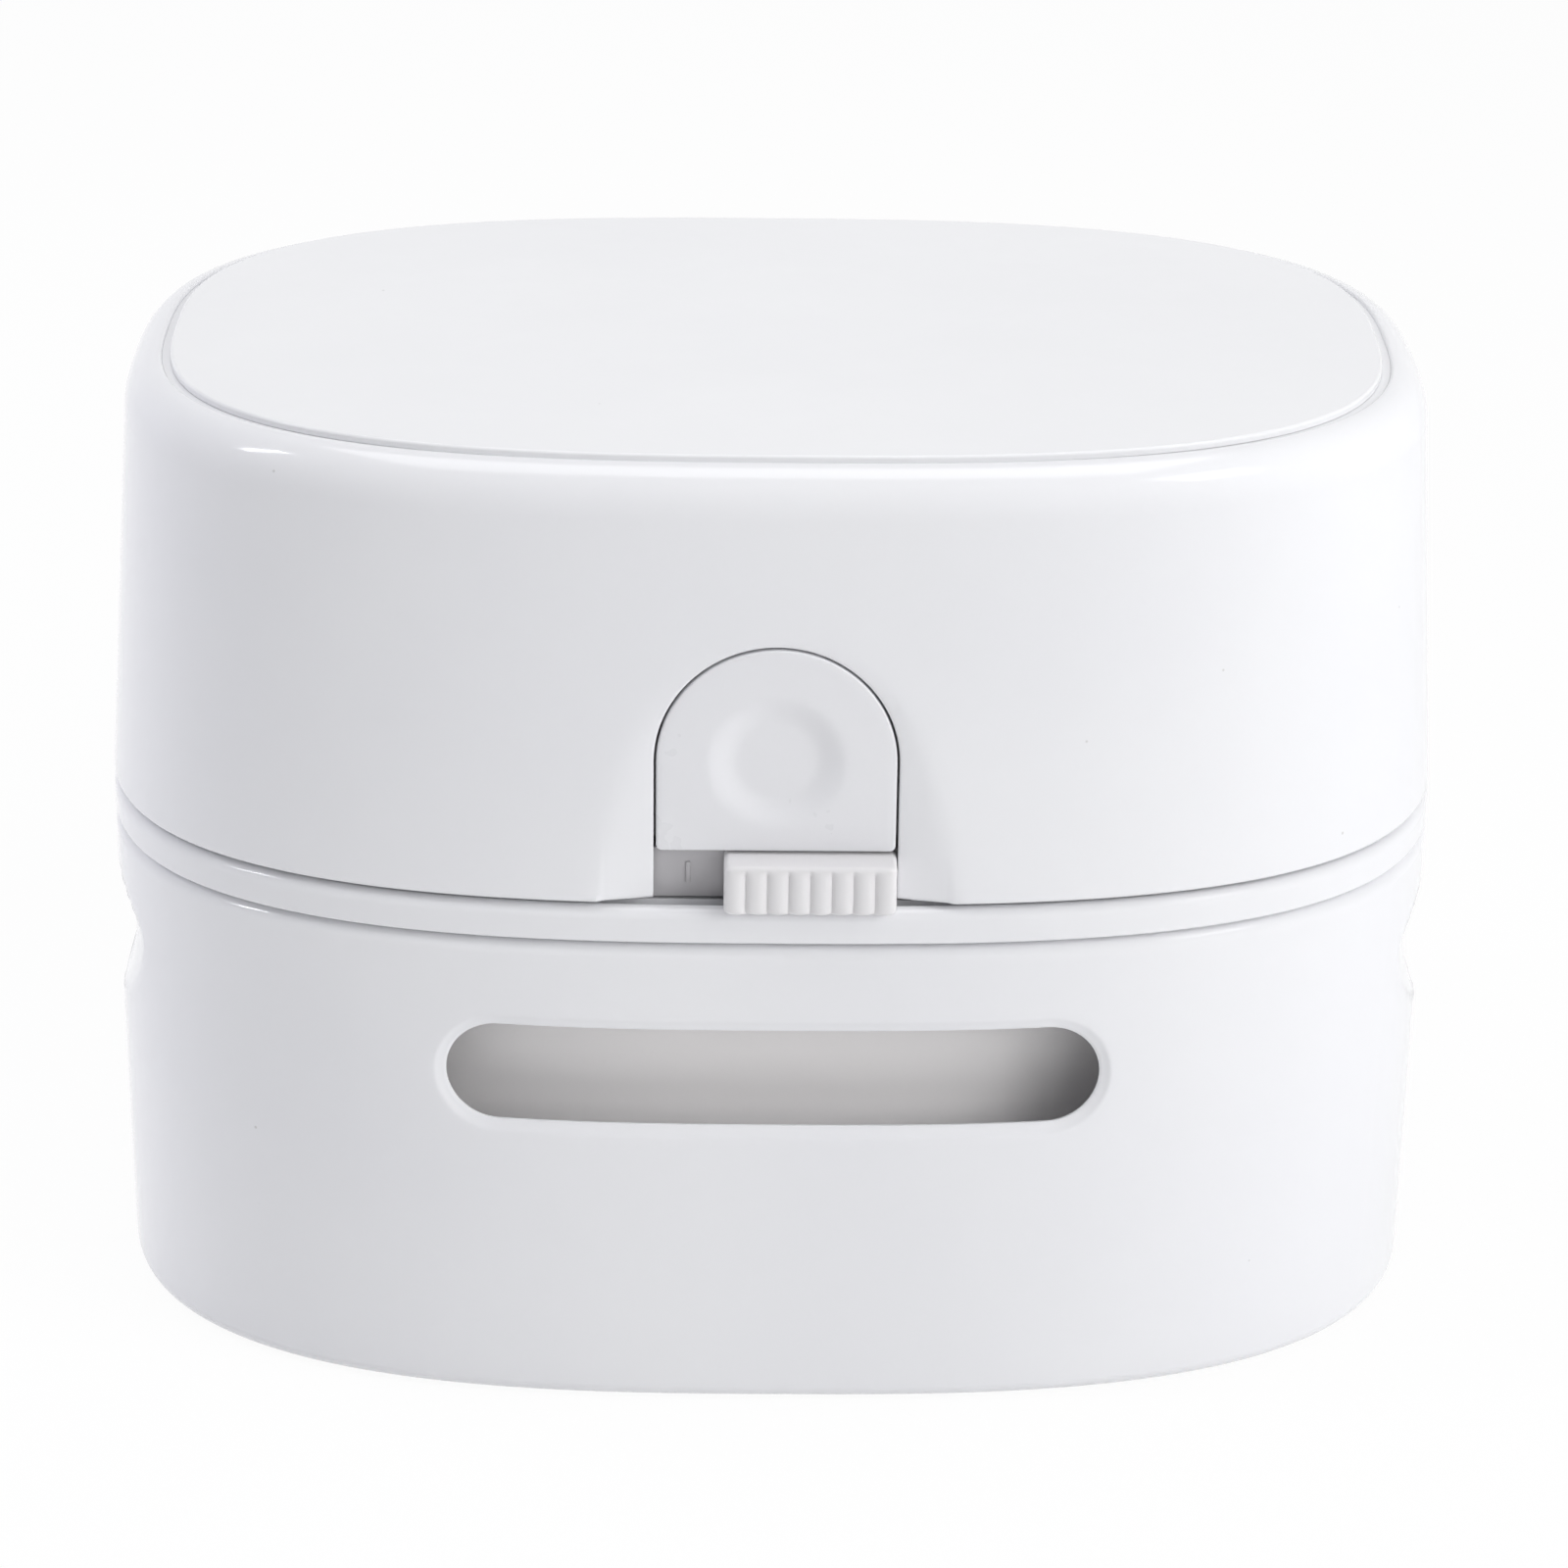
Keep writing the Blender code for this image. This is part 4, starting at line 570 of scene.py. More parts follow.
def make_moulded_surface():
    """Moulded plastic: a faint waviness, a fine polish grain, and gloss that varies a little."""
    group, given, result = new_group(
        "moulded_surface",
        [
            ("Grain Scale", "NodeSocketFloat", 2200.0),
            ("Grain Depth", "NodeSocketFloat", 0.05),
            ("Wave Depth", "NodeSocketFloat", 0.05),
            ("Roughness Low", "NodeSocketFloat", 0.16),
            ("Roughness High", "NodeSocketFloat", 0.26),
        ],
        [("Normal", "NodeSocketVector"), ("Roughness", "NodeSocketFloat")],
    )
    nodes, links = group.nodes, group.links
    place = nodes.new("ShaderNodeTexCoord")
    wave = value_noise(nodes, 55.0, 1.0)
    grain = value_noise(nodes, 2200.0, 2.0)
    gloss = value_noise(nodes, 140.0, 4.0, 0.6)
    for noise in (wave, grain, gloss):
        links.new(place.outputs["Object"], noise.inputs["Vector"])
    links.new(given.outputs["Grain Scale"], grain.inputs["Scale"])
    coarse = nodes.new("ShaderNodeBump")
    coarse.inputs["Distance"].default_value = 0.00012
    links.new(given.outputs["Wave Depth"], coarse.inputs["Strength"])
    links.new(wave.outputs["Fac"], coarse.inputs["Height"])
    fine = nodes.new("ShaderNodeBump")
    fine.inputs["Distance"].default_value = 0.00003
    links.new(given.outputs["Grain Depth"], fine.inputs["Strength"])
    links.new(grain.outputs["Fac"], fine.inputs["Height"])
    links.new(coarse.outputs["Normal"], fine.inputs["Normal"])
    links.new(fine.outputs["Normal"], result.inputs["Normal"])
    spread = remap(nodes, 0.3, 0.7, 0.16, 0.26)
    links.new(gloss.outputs["Fac"], spread.inputs["Value"])
    links.new(given.outputs["Roughness Low"], spread.inputs["To Min"])
    links.new(given.outputs["Roughness High"], spread.inputs["To Max"])
    links.new(spread.outputs["Result"], result.inputs["Roughness"])
    return group


def make_resin_tint():
    """A slow drift between two shades of one resin, with rare pin-sized specks."""
    group, given, result = new_group(
        "resin_tint",
        [
            ("Main", "NodeSocketColor", (0.8, 0.8, 0.8, 1)),
            ("Drift", "NodeSocketColor", (0.78, 0.78, 0.8, 1)),
            ("Speck", "NodeSocketColor", (0.45, 0.44, 0.43, 1)),
            ("Speck Amount", "NodeSocketFloat", 0.6),
        ],
        [("Color", "NodeSocketColor")],
    )
    nodes, links = group.nodes, group.links
    place = nodes.new("ShaderNodeTexCoord")
    drift = value_noise(nodes, 30.0, 3.0)
    links.new(place.outputs["Object"], drift.inputs["Vector"])
    spread = remap(nodes, 0.35, 0.65, 0.0, 1.0)
    links.new(drift.outputs["Fac"], spread.inputs["Value"])
    tint = nodes.new("ShaderNodeMix")
    tint.data_type = "RGBA"
    links.new(spread.outputs["Result"], tint.inputs["Factor"])
    links.new(given.outputs["Main"], tint.inputs["A"])
    links.new(given.outputs["Drift"], tint.inputs["B"])
    cells = nodes.new("ShaderNodeTexVoronoi")
    cells.inputs["Scale"].default_value = 130.0
    links.new(place.outputs["Object"], cells.inputs["Vector"])
    near = remap(nodes, 0.012, 0.022, 1.0, 0.0)
    links.new(cells.outputs["Distance"], near.inputs["Value"])
    amount = nodes.new("ShaderNodeMath")
    amount.operation = "MULTIPLY"
    links.new(near.outputs["Result"], amount.inputs[0])
    links.new(given.outputs["Speck Amount"], amount.inputs[1])
    speck = nodes.new("ShaderNodeMix")
    speck.data_type = "RGBA"
    links.new(amount.outputs["Value"], speck.inputs["Factor"])
    links.new(tint.outputs["Result"], speck.inputs["A"])
    links.new(given.outputs["Speck"], speck.inputs["B"])
    links.new(speck.outputs["Result"], result.inputs["Color"])
    return group


MOULDED_SURFACE = make_moulded_surface()
RESIN_TINT = make_resin_tint()


def new_material(name, metallic=0.0, roughness=0.3):
    material = bpy.data.materials.new(name)
    material.use_nodes = True
    shader = material.node_tree.nodes["Principled BSDF"]
    shader.inputs["Metallic"].default_value = metallic
    shader.inputs["Roughness"].default_value = roughness
    return material, material.node_tree.nodes, material.node_tree.links, shader


def use_group(nodes, group, **values):
    node = nodes.new("ShaderNodeGroup")
    node.node_tree = group
    for label, value in values.items():
        node.inputs[label.replace("_", " ")].default_value = value
    return node


def moulded_plastic(name, main, drift, gloss, grain=(2200.0, 0.05), wave=0.05, specks=0.5):
    """A moulded plastic of two close shades, with gloss between two roughness values."""
    material, nodes, links, shader = new_material(name)
    tint = use_group(nodes, RESIN_TINT, Main=(*main, 1), Drift=(*drift, 1), Speck_Amount=specks)
    surface = use_group(
        nodes,
        MOULDED_SURFACE,
        Grain_Scale=grain[0],
        Grain_Depth=grain[1],
        Wave_Depth=wave,
        Roughness_Low=gloss[0],
        Roughness_High=gloss[1],
    )
    links.new(tint.outputs["Color"], shader.inputs["Base Color"])
    links.new(surface.outputs["Normal"], shader.inputs["Normal"])
    links.new(surface.outputs["Roughness"], shader.inputs["Roughness"])
    return material


def brushed_metal(name, main, drift, roughness, stretch=(1.0, 1.0, 0.08), scale=900.0):
    """Drawn or rolled metal: stretched noise in its gloss, tint and bump."""
    material, nodes, links, shader = new_material(name, 1.0)
    place = nodes.new("ShaderNodeTexCoord")
    mapping = nodes.new("ShaderNodeMapping")
    mapping.inputs["Scale"].default_value = stretch
    links.new(place.outputs["Object"], mapping.inputs["Vector"])
    lines = value_noise(nodes, scale, 4.0, 0.6)
    stains = value_noise(nodes, 180.0, 4.0, 0.6)
    links.new(mapping.outputs["Vector"], lines.inputs["Vector"])
    links.new(place.outputs["Object"], stains.inputs["Vector"])
    spread = remap(nodes, 0.25, 0.75, roughness[0], roughness[1])
    links.new(lines.outputs["Fac"], spread.inputs["Value"])
    links.new(spread.outputs["Result"], shader.inputs["Roughness"])
    tint = nodes.new("ShaderNodeMix")
    tint.data_type = "RGBA"
    tint.inputs["A"].default_value = (*main, 1)
    tint.inputs["B"].default_value = (*drift, 1)
    links.new(stains.outputs["Fac"], tint.inputs["Factor"])
    links.new(tint.outputs["Result"], shader.inputs["Base Color"])
    bump = nodes.new("ShaderNodeBump")
    bump.inputs["Strength"].default_value = 0.15
    bump.inputs["Distance"].default_value = 0.00002
    links.new(lines.outputs["Fac"], bump.inputs["Height"])
    links.new(bump.outputs["Normal"], shader.inputs["Normal"])
    return material


def make_seal_rubber():
    """Soft matt rubber with a dusty bloom."""
    material, nodes, links, shader = new_material("seal_rubber", 0.0, 0.75)
    tint = use_group(
        nodes,
        RESIN_TINT,
        Main=(0.075, 0.077, 0.08, 1),
        Drift=(0.11, 0.11, 0.112, 1),
        Speck=(0.2, 0.2, 0.2, 1),
        Speck_Amount=0.4,
    )
    surface = use_group(
        nodes,
        MOULDED_SURFACE,
        Grain_Scale=3200.0,
        Grain_Depth=0.35,
        Wave_Depth=0.1,
        Roughness_Low=0.62,
        Roughness_High=0.8,
    )
    links.new(tint.outputs["Color"], shader.inputs["Base Color"])
    links.new(surface.outputs["Normal"], shader.inputs["Normal"])
    links.new(surface.outputs["Roughness"], shader.inputs["Roughness"])
    return material


def make_bristle_nylon():
    """Translucent-looking nylon strands, each a slightly different grey."""
    material, nodes, links, shader = new_material("bristle_nylon", 0.0, 0.38)
    place = nodes.new("ShaderNodeTexCoord")
    strands = value_noise(nodes, 2600.0, 1.0)
    mapping = nodes.new("ShaderNodeMapping")
    mapping.inputs["Scale"].default_value = (1.0, 1.0, 0.12)
    links.new(place.outputs["Object"], mapping.inputs["Vector"])
    links.new(mapping.outputs["Vector"], strands.inputs["Vector"])
    tint = nodes.new("ShaderNodeMix")
    tint.data_type = "RGBA"
    tint.inputs["A"].default_value = (0.42, 0.43, 0.45, 1)
    tint.inputs["B"].default_value = (0.7, 0.71, 0.73, 1)
    links.new(strands.outputs["Fac"], tint.inputs["Factor"])
    links.new(tint.outputs["Result"], shader.inputs["Base Color"])
    spread = remap(nodes, 0.3, 0.7, 0.3, 0.5)
    links.new(strands.outputs["Fac"], spread.inputs["Value"])
    links.new(spread.outputs["Result"], shader.inputs["Roughness"])
    return material


def make_filter_felt():
    """Non-woven filter cloth: two crossing thread fields and a fuzzy sheen."""
    material, nodes, links, shader = new_material("filter_felt", 0.0, 0.95)
    shader.inputs["Sheen Weight"].default_value = 0.35
    place = nodes.new("ShaderNodeTexCoord")
    fibres = []
    for stretch in ((1.0, 0.16, 1.0), (0.16, 1.0, 1.0)):
        mapping = nodes.new("ShaderNodeMapping")
        mapping.inputs["Scale"].default_value = stretch
        mapping.inputs["Rotation"].default_value = (0, 0, 0.5)
        noise = value_noise(nodes, 2400.0, 3.0, 0.6)
        links.new(place.outputs["Object"], mapping.inputs["Vector"])
        links.new(mapping.outputs["Vector"], noise.inputs["Vector"])
        fibres.append(noise)
    both = nodes.new("ShaderNodeMath")
    both.operation = "MAXIMUM"
    links.new(fibres[0].outputs["Fac"], both.inputs[0])
    links.new(fibres[1].outputs["Fac"], both.inputs[1])
    spread = remap(nodes, 0.4, 0.75, 0.0, 1.0)
    links.new(both.outputs["Value"], spread.inputs["Value"])
    tint = nodes.new("ShaderNodeMix")
    tint.data_type = "RGBA"
    tint.inputs["A"].default_value = (0.5, 0.53, 0.56, 1)
    tint.inputs["B"].default_value = (0.82, 0.84, 0.86, 1)
    links.new(spread.outputs["Result"], tint.inputs["Factor"])
    links.new(tint.outputs["Result"], shader.inputs["Base Color"])
    bump = nodes.new("ShaderNodeBump")
    bump.inputs["Strength"].default_value = 0.7
    bump.inputs["Distance"].default_value = 0.0001
    links.new(both.outputs["Value"], bump.inputs["Height"])
    links.new(bump.outputs["Normal"], shader.inputs["Normal"])
    return material


def make_cell_sleeve():
    """Shrink sleeve of a cell: dark green body with a grey band at its plus end, slightly wrinkled."""
    material, nodes, links, shader = new_material("cell_sleeve", 0.0, 0.25)
    shader.inputs["Coat Weight"].default_value = 0.4
    place = nodes.new("ShaderNodeTexCoord")
    parts = nodes.new("ShaderNodeSeparateXYZ")
    links.new(place.outputs["Object"], parts.inputs["Vector"])
    side = nodes.new("ShaderNodeMath")
    side.operation = "SIGN"
    links.new(parts.outputs["X"], side.inputs[0])
    lengthwise = nodes.new("ShaderNodeMath")
    lengthwise.operation = "MULTIPLY"
    links.new(side.outputs["Value"], lengthwise.inputs[0])
    links.new(parts.outputs["Y"], lengthwise.inputs[1])
    band = remap(nodes, -0.0118, -0.0116, 1.0, 0.0)
    links.new(lengthwise.outputs["Value"], band.inputs["Value"])
    drift = value_noise(nodes, 90.0, 3.0)
    links.new(place.outputs["Object"], drift.inputs["Vector"])
    body = nodes.new("ShaderNodeMix")
    body.data_type = "RGBA"
    body.inputs["A"].default_value = (0.018, 0.075, 0.045, 1)
    body.inputs["B"].default_value = (0.03, 0.11, 0.065, 1)
    links.new(drift.outputs["Fac"], body.inputs["Factor"])
    both = nodes.new("ShaderNodeMix")
    both.data_type = "RGBA"
    both.inputs["B"].default_value = (0.42, 0.43, 0.42, 1)
    links.new(band.outputs["Result"], both.inputs["Factor"])
    links.new(body.outputs["Result"], both.inputs["A"])
    links.new(both.outputs["Result"], shader.inputs["Base Color"])
    wrinkle = nodes.new("ShaderNodeMapping")
    wrinkle.inputs["Scale"].default_value = (1.0, 0.15, 1.0)
    links.new(place.outputs["Object"], wrinkle.inputs["Vector"])
    folds = value_noise(nodes, 260.0, 2.0)
    links.new(wrinkle.outputs["Vector"], folds.inputs["Vector"])
    bump = nodes.new("ShaderNodeBump")
    bump.inputs["Strength"].default_value = 0.25
    bump.inputs["Distance"].default_value = 0.0001
    links.new(folds.outputs["Fac"], bump.inputs["Height"])
    links.new(bump.outputs["Normal"], shader.inputs["Normal"])
    spread = remap(nodes, 0.3, 0.7, 0.2, 0.34)
    links.new(folds.outputs["Fac"], spread.inputs["Value"])
    links.new(spread.outputs["Result"], shader.inputs["Roughness"])
    return material


SHELL_WHITE = moulded_plastic(
    "shell_white_gloss", (0.81, 0.812, 0.83), (0.79, 0.792, 0.815), (0.09, 0.14)
)
COVER_WHITE = moulded_plastic(
    "cover_white_gloss", (0.83, 0.832, 0.845), (0.815, 0.817, 0.832), (0.16, 0.25)
)
BUTTON_WHITE = moulded_plastic(
    "button_white_satin", (0.79, 0.79, 0.81), (0.775, 0.776, 0.8), (0.26, 0.36), (2600.0, 0.12)
)
KNOB_WHITE = moulded_plastic(
    "knob_white_satin", (0.77, 0.76, 0.765), (0.75, 0.74, 0.75), (0.3, 0.42), (3000.0, 0.15)
)
INNER_GREY = moulded_plastic(
    "inner_warm_white", (0.95, 0.93, 0.925), (0.93, 0.91, 0.905), (0.3, 0.42), (1500.0, 0.2)
)
# The switch plate's dark grey is painted shade: it stands in for the shade of the recess under the
# button, which the lamps leave too light.
PANEL_PAINTED_SHADE = moulded_plastic(
    "panel_satin_painted_shade", (0.5, 0.49, 0.505), (0.47, 0.46, 0.475), (0.35, 0.45), (2400.0, 0.15)
)
FAN_WHITE = moulded_plastic(
    "fan_natural_nylon", (0.74, 0.73, 0.69), (0.7, 0.69, 0.655), (0.3, 0.42), (1800.0, 0.2)
)
SWITCH_BLACK = moulded_plastic(
    "switch_phenolic", (0.05, 0.05, 0.052), (0.07, 0.068, 0.066), (0.4, 0.55), (1600.0, 0.3)
)
CAN_STEEL = brushed_metal("motor_can_steel", (0.6, 0.61, 0.63), (0.48, 0.48, 0.5), (0.22, 0.42))
SHAFT_STEEL = brushed_metal(
    "shaft_steel", (0.66, 0.67, 0.69), (0.58, 0.58, 0.6), (0.15, 0.3), (1.0, 1.0, 0.05)
)
SCREW_ZINC = brushed_metal(
    "screw_zinc", (0.62, 0.62, 0.6), (0.5, 0.5, 0.47), (0.25, 0.45), (1.0, 1.0, 1.0), 1400.0
)
CONTACT_NICKEL = brushed_metal(
    "contact_nickel", (0.72, 0.7, 0.66), (0.6, 0.58, 0.54), (0.16, 0.32), (1.0, 0.1, 1.0)
)
SPRING_STEEL = brushed_metal(
    "spring_steel", (0.6, 0.6, 0.61), (0.45, 0.45, 0.47), (0.2, 0.36), (1.0, 1.0, 1.0), 1500.0
)
SEAL_RUBBER = make_seal_rubber()
BRISTLE_NYLON = make_bristle_nylon()
FILTER_FELT = make_filter_felt()
CELL_SLEEVE = make_cell_sleeve()


# Lower housing and what it carries

def grip_amount(y, z):
    reach = GRIP_RISE if z > GRIP_HEIGHT else GRIP_FALL
    inside = 1 - (y / GRIP_HALF_LENGTH) ** 2 - ((z - GRIP_HEIGHT) / reach) ** 2
    return GRIP_DEPTH * max(inside, 0.0) ** GRIP_EDGE_POWER


def build_lower_housing():
    foot = lower_inset(BASE_ROUND)
    outer = arc((foot + BASE_ROUND, BASE_ROUND), (BASE_ROUND, BASE_ROUND), 270, 180, 10)
    wall_top = SEAM_Z - SEAM_ROUND
    levels = rows(BASE_ROUND, GRIP_HEIGHT - GRIP_FALL, ROW_STEP)[1:]
    levels += rows(GRIP_HEIGHT - GRIP_FALL, GRIP_HEIGHT + GRIP_RISE, END_STEP)[1:]
    levels += rows(GRIP_HEIGHT + GRIP_RISE, wall_top, ROW_STEP)[1:-1]
    outer += [(lower_inset(z), z) for z in levels]
    outer += arc((SEAM_ROUND, wall_top), (SEAM_ROUND, SEAM_ROUND), 180, 90, 8)
    rebate_z = SEAM_Z - SEAM_REBATE
    outer += [(SEAM_ROUND + 0.0001, SEAM_Z), (SEAM_ROUND + 0.0001, rebate_z)]
    inner = [(lower_inset(z) + WALL, z) for z in rows(LEDGE_HEIGHT, rebate_z, END_STEP)[::-1]]
    ledge_foot = LEDGE_HEIGHT - LEDGE_THICKNESS
    inner += [
        (LEDGE_REACH, LEDGE_HEIGHT),
        (LEDGE_REACH, ledge_foot),
        (lower_inset(ledge_foot) + WALL, ledge_foot),
    ]
    seat_foot = PLATE_SEAT_HEIGHT - PLATE_SEAT_THICKNESS
    seat_wall = lower_inset(PLATE_SEAT_HEIGHT) + WALL
    rim_wall = foot + BASE_RIM_WALL
    inner += [
        (seat_wall, PLATE_SEAT_HEIGHT),
        (seat_wall + PLATE_SEAT_WIDTH, PLATE_SEAT_HEIGHT),
        (seat_wall + PLATE_SEAT_WIDTH, seat_foot),
        (rim_wall, seat_foot),
        (rim_wall, 0),
    ]
    rings = []
    for inset, z in outer + inner:
        ring = oval_ring(inset, z, LOWER_TURNS)
        for point in ring:
            point.x -= math.copysign(grip_amount(point.y, point.z), point.x)
        rings.append(ring)
    housing = loft("lower_housing_shell", rings, SHELL_WHITE, closed=True)
    for side in (-1, 1):
        combine(housing, slot_cutter(side))
    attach(finish_surface(housing), "dust_box")
    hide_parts("lower_housing")


def slot_cutter(side):
    """The air slot's cutter in the front (-1) or rear wall, flared where it meets the outer face."""
    outline = stadium(SLOT_LENGTH, SLOT_HEIGHT)
    width, sunk = SLOT_EDGE_WIDTH, SLOT_EDGE_DEPTH
    sections = [(SLOT_UNDERCUT, WALL + CUT_OVERRUN), (SLOT_UNDERCUT, WALL - 0.0002)]
    sections += [(0.0, sunk + SLOT_LIP), (0.0, sunk + 0.00006), (0.00006, sunk)]
    for share in (0.25, 0.5, 0.65, 0.78, 0.88, 0.95):
        fall = share if share < 0.5 else 0.5 + 0.5 * math.sin(math.pi * (share - 0.5))
        sections.append((0.00006 + width * share, sunk * (1 - 0.97 * fall)))
    last_growth, last_depth = sections[-1]
    lip = last_growth + (last_depth + CUT_OVERRUN / 4) * width / sunk * 4
    sections += [(lip, -CUT_OVERRUN / 4), (lip, -2 * CUT_OVERRUN)]
    rings = []
    for growth, depth in sections:
        ring = []
        for point, outward in outline:
            x, z = point + outward * growth
            z += SLOT_CENTRE_HEIGHT
            ring.append(Vector((x, side * (-front_y(x, lower_inset(z)) - depth), z)))
        rings.append(ring)
    return loft("slot_cutter", rings)


def build_base_plate():
    edge = lower_inset(PLATE_Z) + WALL + SEAT_GAP
    soft = PLATE_EDGE_ROUND
    profile = [
        *arc((edge + soft, PLATE_Z + soft), (soft, soft), 270, 180, 3),
        *arc((edge + soft, PLATE_TOP_Z - soft), (soft, soft), 180, 90, 3),
    ]
    plate = oval_loft("base_plate_moulding", profile, SHELL_WHITE)
    hole = stadium_rings(
        [(SEAT_GAP, PLATE_Z - CUT_OVERRUN), (SEAT_GAP, PLATE_TOP_Z + CUT_OVERRUN)]
    )
    combine(plate, loft("nozzle_hole", hole))
    inner, outer = BRUSH_MARGIN - SEAT_GAP, BRUSH_MARGIN + BRUSH_WIDTH + SEAT_GAP
    low, high = PLATE_Z - CUT_OVERRUN, PLATE_Z + BRUSH_BACKING + SEAT_GAP
    groove = stadium_rings([(inner, low), (outer, low), (outer, high), (inner, high)])
    combine(plate, loft("brush_groove", groove, closed=True))
    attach(finish_surface(plate), "dust_box")
    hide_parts("base_plate")


def build_nozzle():
    flange_low = PLATE_Z - SEAT_GAP - NOZZLE_FLANGE_THICKNESS
    flange_high = PLATE_Z - SEAT_GAP
    top = PLATE_TOP_Z + NOZZLE_HEIGHT
    soft = NOZZLE_ROUND
    lip = NOZZLE_WALL / 2
    sections = [
        *[(-NOZZLE_WALL + g, z) for g, z in arc((soft, flange_low + soft), (soft, soft), 180, 270, 6)],
        *arc((NOZZLE_FLANGE - soft, flange_low + soft), (soft, soft), 270, 360, 6),
        (NOZZLE_FLANGE, flange_high),
        (0.0, flange_high),
        *arc((-lip, top - lip), (lip, lip), 0, 180, 10),
    ]
    nozzle = loft("inlet_nozzle_moulding", stadium_rings(sections), INNER_GREY, closed=True)
    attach(finish_surface(nozzle), "dust_box")
    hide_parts("inlet_nozzle")


def build_brush():
    """Tufts of fine bristles, splayed a little at their tips, set in a rounded backing strip."""
    low, high = PLATE_Z, PLATE_Z + BRUSH_BACKING
    inner, outer = BRUSH_MARGIN, BRUSH_MARGIN + BRUSH_WIDTH
    soft = BRUSH_BACKING / 3
    sections = [
        *arc((inner + soft, low + soft), (soft, soft), 180, 270, 3),
        *arc((outer - soft, low + soft), (soft, soft), 270, 360, 3),
        (outer, high),
        (inner, high),
    ]
    backing = loft("brush_backing", stadium_rings(sections), SEAL_RUBBER, closed=True)
    middle = (inner + outer) / 2
    outline = stadium(
        NOZZLE_LENGTH + 2 * middle,
        NOZZLE_WIDTH + 2 * middle,
        (2 * (NOZZLE_LENGTH - NOZZLE_WIDTH) + math.pi * (NOZZLE_WIDTH + 2 * middle)) / TUFTS,
    )
    shape = bmesh.new()
    golden = math.pi * (3 - math.sqrt(5))
    for tuft, (place, outward) in enumerate(outline):
        for strand in range(TUFT_BRISTLES):
            reach = TUFT_RADIUS * math.sqrt((strand + 0.5) / TUFT_BRISTLES)
            spin = golden * (strand + 0.37 * tuft)
            offset = Vector((math.cos(spin), math.sin(spin))) * reach
            root = Vector((*(place + offset), low + BRUSH_BACKING / 4))
            lean = offset / TUFT_RADIUS * BRISTLE_SPLAY
            drop = BRUSH_GROUND_GAP * (1 + ((strand * 7 + tuft * 5) % 11) / 11)
            tip = Vector((*(place + offset + lean), drop))
            add_strand(shape, root, tip)
    strands = add_object("brush_bristles", mesh_of("brush_bristles", shape), BRISTLE_NYLON)
    strands.data.shade_smooth()
    for piece in (finish_surface(backing), strands):
        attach(piece, "dust_box")
        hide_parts("brush_ring")


def add_strand(shape, root, tip, sides=5):
    """One bristle: a tapering strand that bends towards its tip."""
    rings = []
    for share in (0.0, 0.55, 0.9, 1.0):
        bend = share**2
        centre = Vector(
            (
                root.x + (tip.x - root.x) * bend,
                root.y + (tip.y - root.y) * bend,
                root.z + (tip.z - root.z) * share,
            )
        )
        radius = BRISTLE_RADIUS * (1 - 0.45 * share**3)
        ring = []
        for side in range(sides):
            turn = 2 * math.pi * side / sides
            around = Vector((math.cos(turn), math.sin(turn), 0)) * radius
            ring.append(shape.verts.new(centre + around))
        rings.append(ring)
    for upper, lower in zip(rings, rings[1:]):
        for side in range(sides):
            after = (side + 1) % sides
            shape.faces.new((upper[side], upper[after], lower[after], lower[side]))
    shape.faces.new(rings[0])
    shape.faces.new(rings[-1])


def build_gasket():
    """The dust seal: a soft lip with a rounded crown and a groove along its middle."""
    low = LEDGE_HEIGHT + SEAT_GAP
    middle = FAN_HOUSING_INSET + FAN_WALL / 2
    half = GASKET_WIDTH / 2
    crown = GASKET_THICKNESS
    profile = [(middle - half, low), (middle - half, low + crown / 2)]
    for step in range(1, 12):
        share = step / 12
        across = middle - half + GASKET_WIDTH * share
        dip = 0.3 * math.exp(-(((share - 0.5) / 0.12) ** 2))
        profile.append((across, low + crown * (0.5 + 0.5 * math.sin(math.pi * share) ** 0.5 - dip)))
    profile += [(middle + half, low + crown / 2), (middle + half, low)]
    gasket = oval_loft("dust_gasket_lip", profile, SEAL_RUBBER, closed=True)
    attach(finish_surface(gasket), "dust_box")
    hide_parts("dust_gasket")


# Chassis

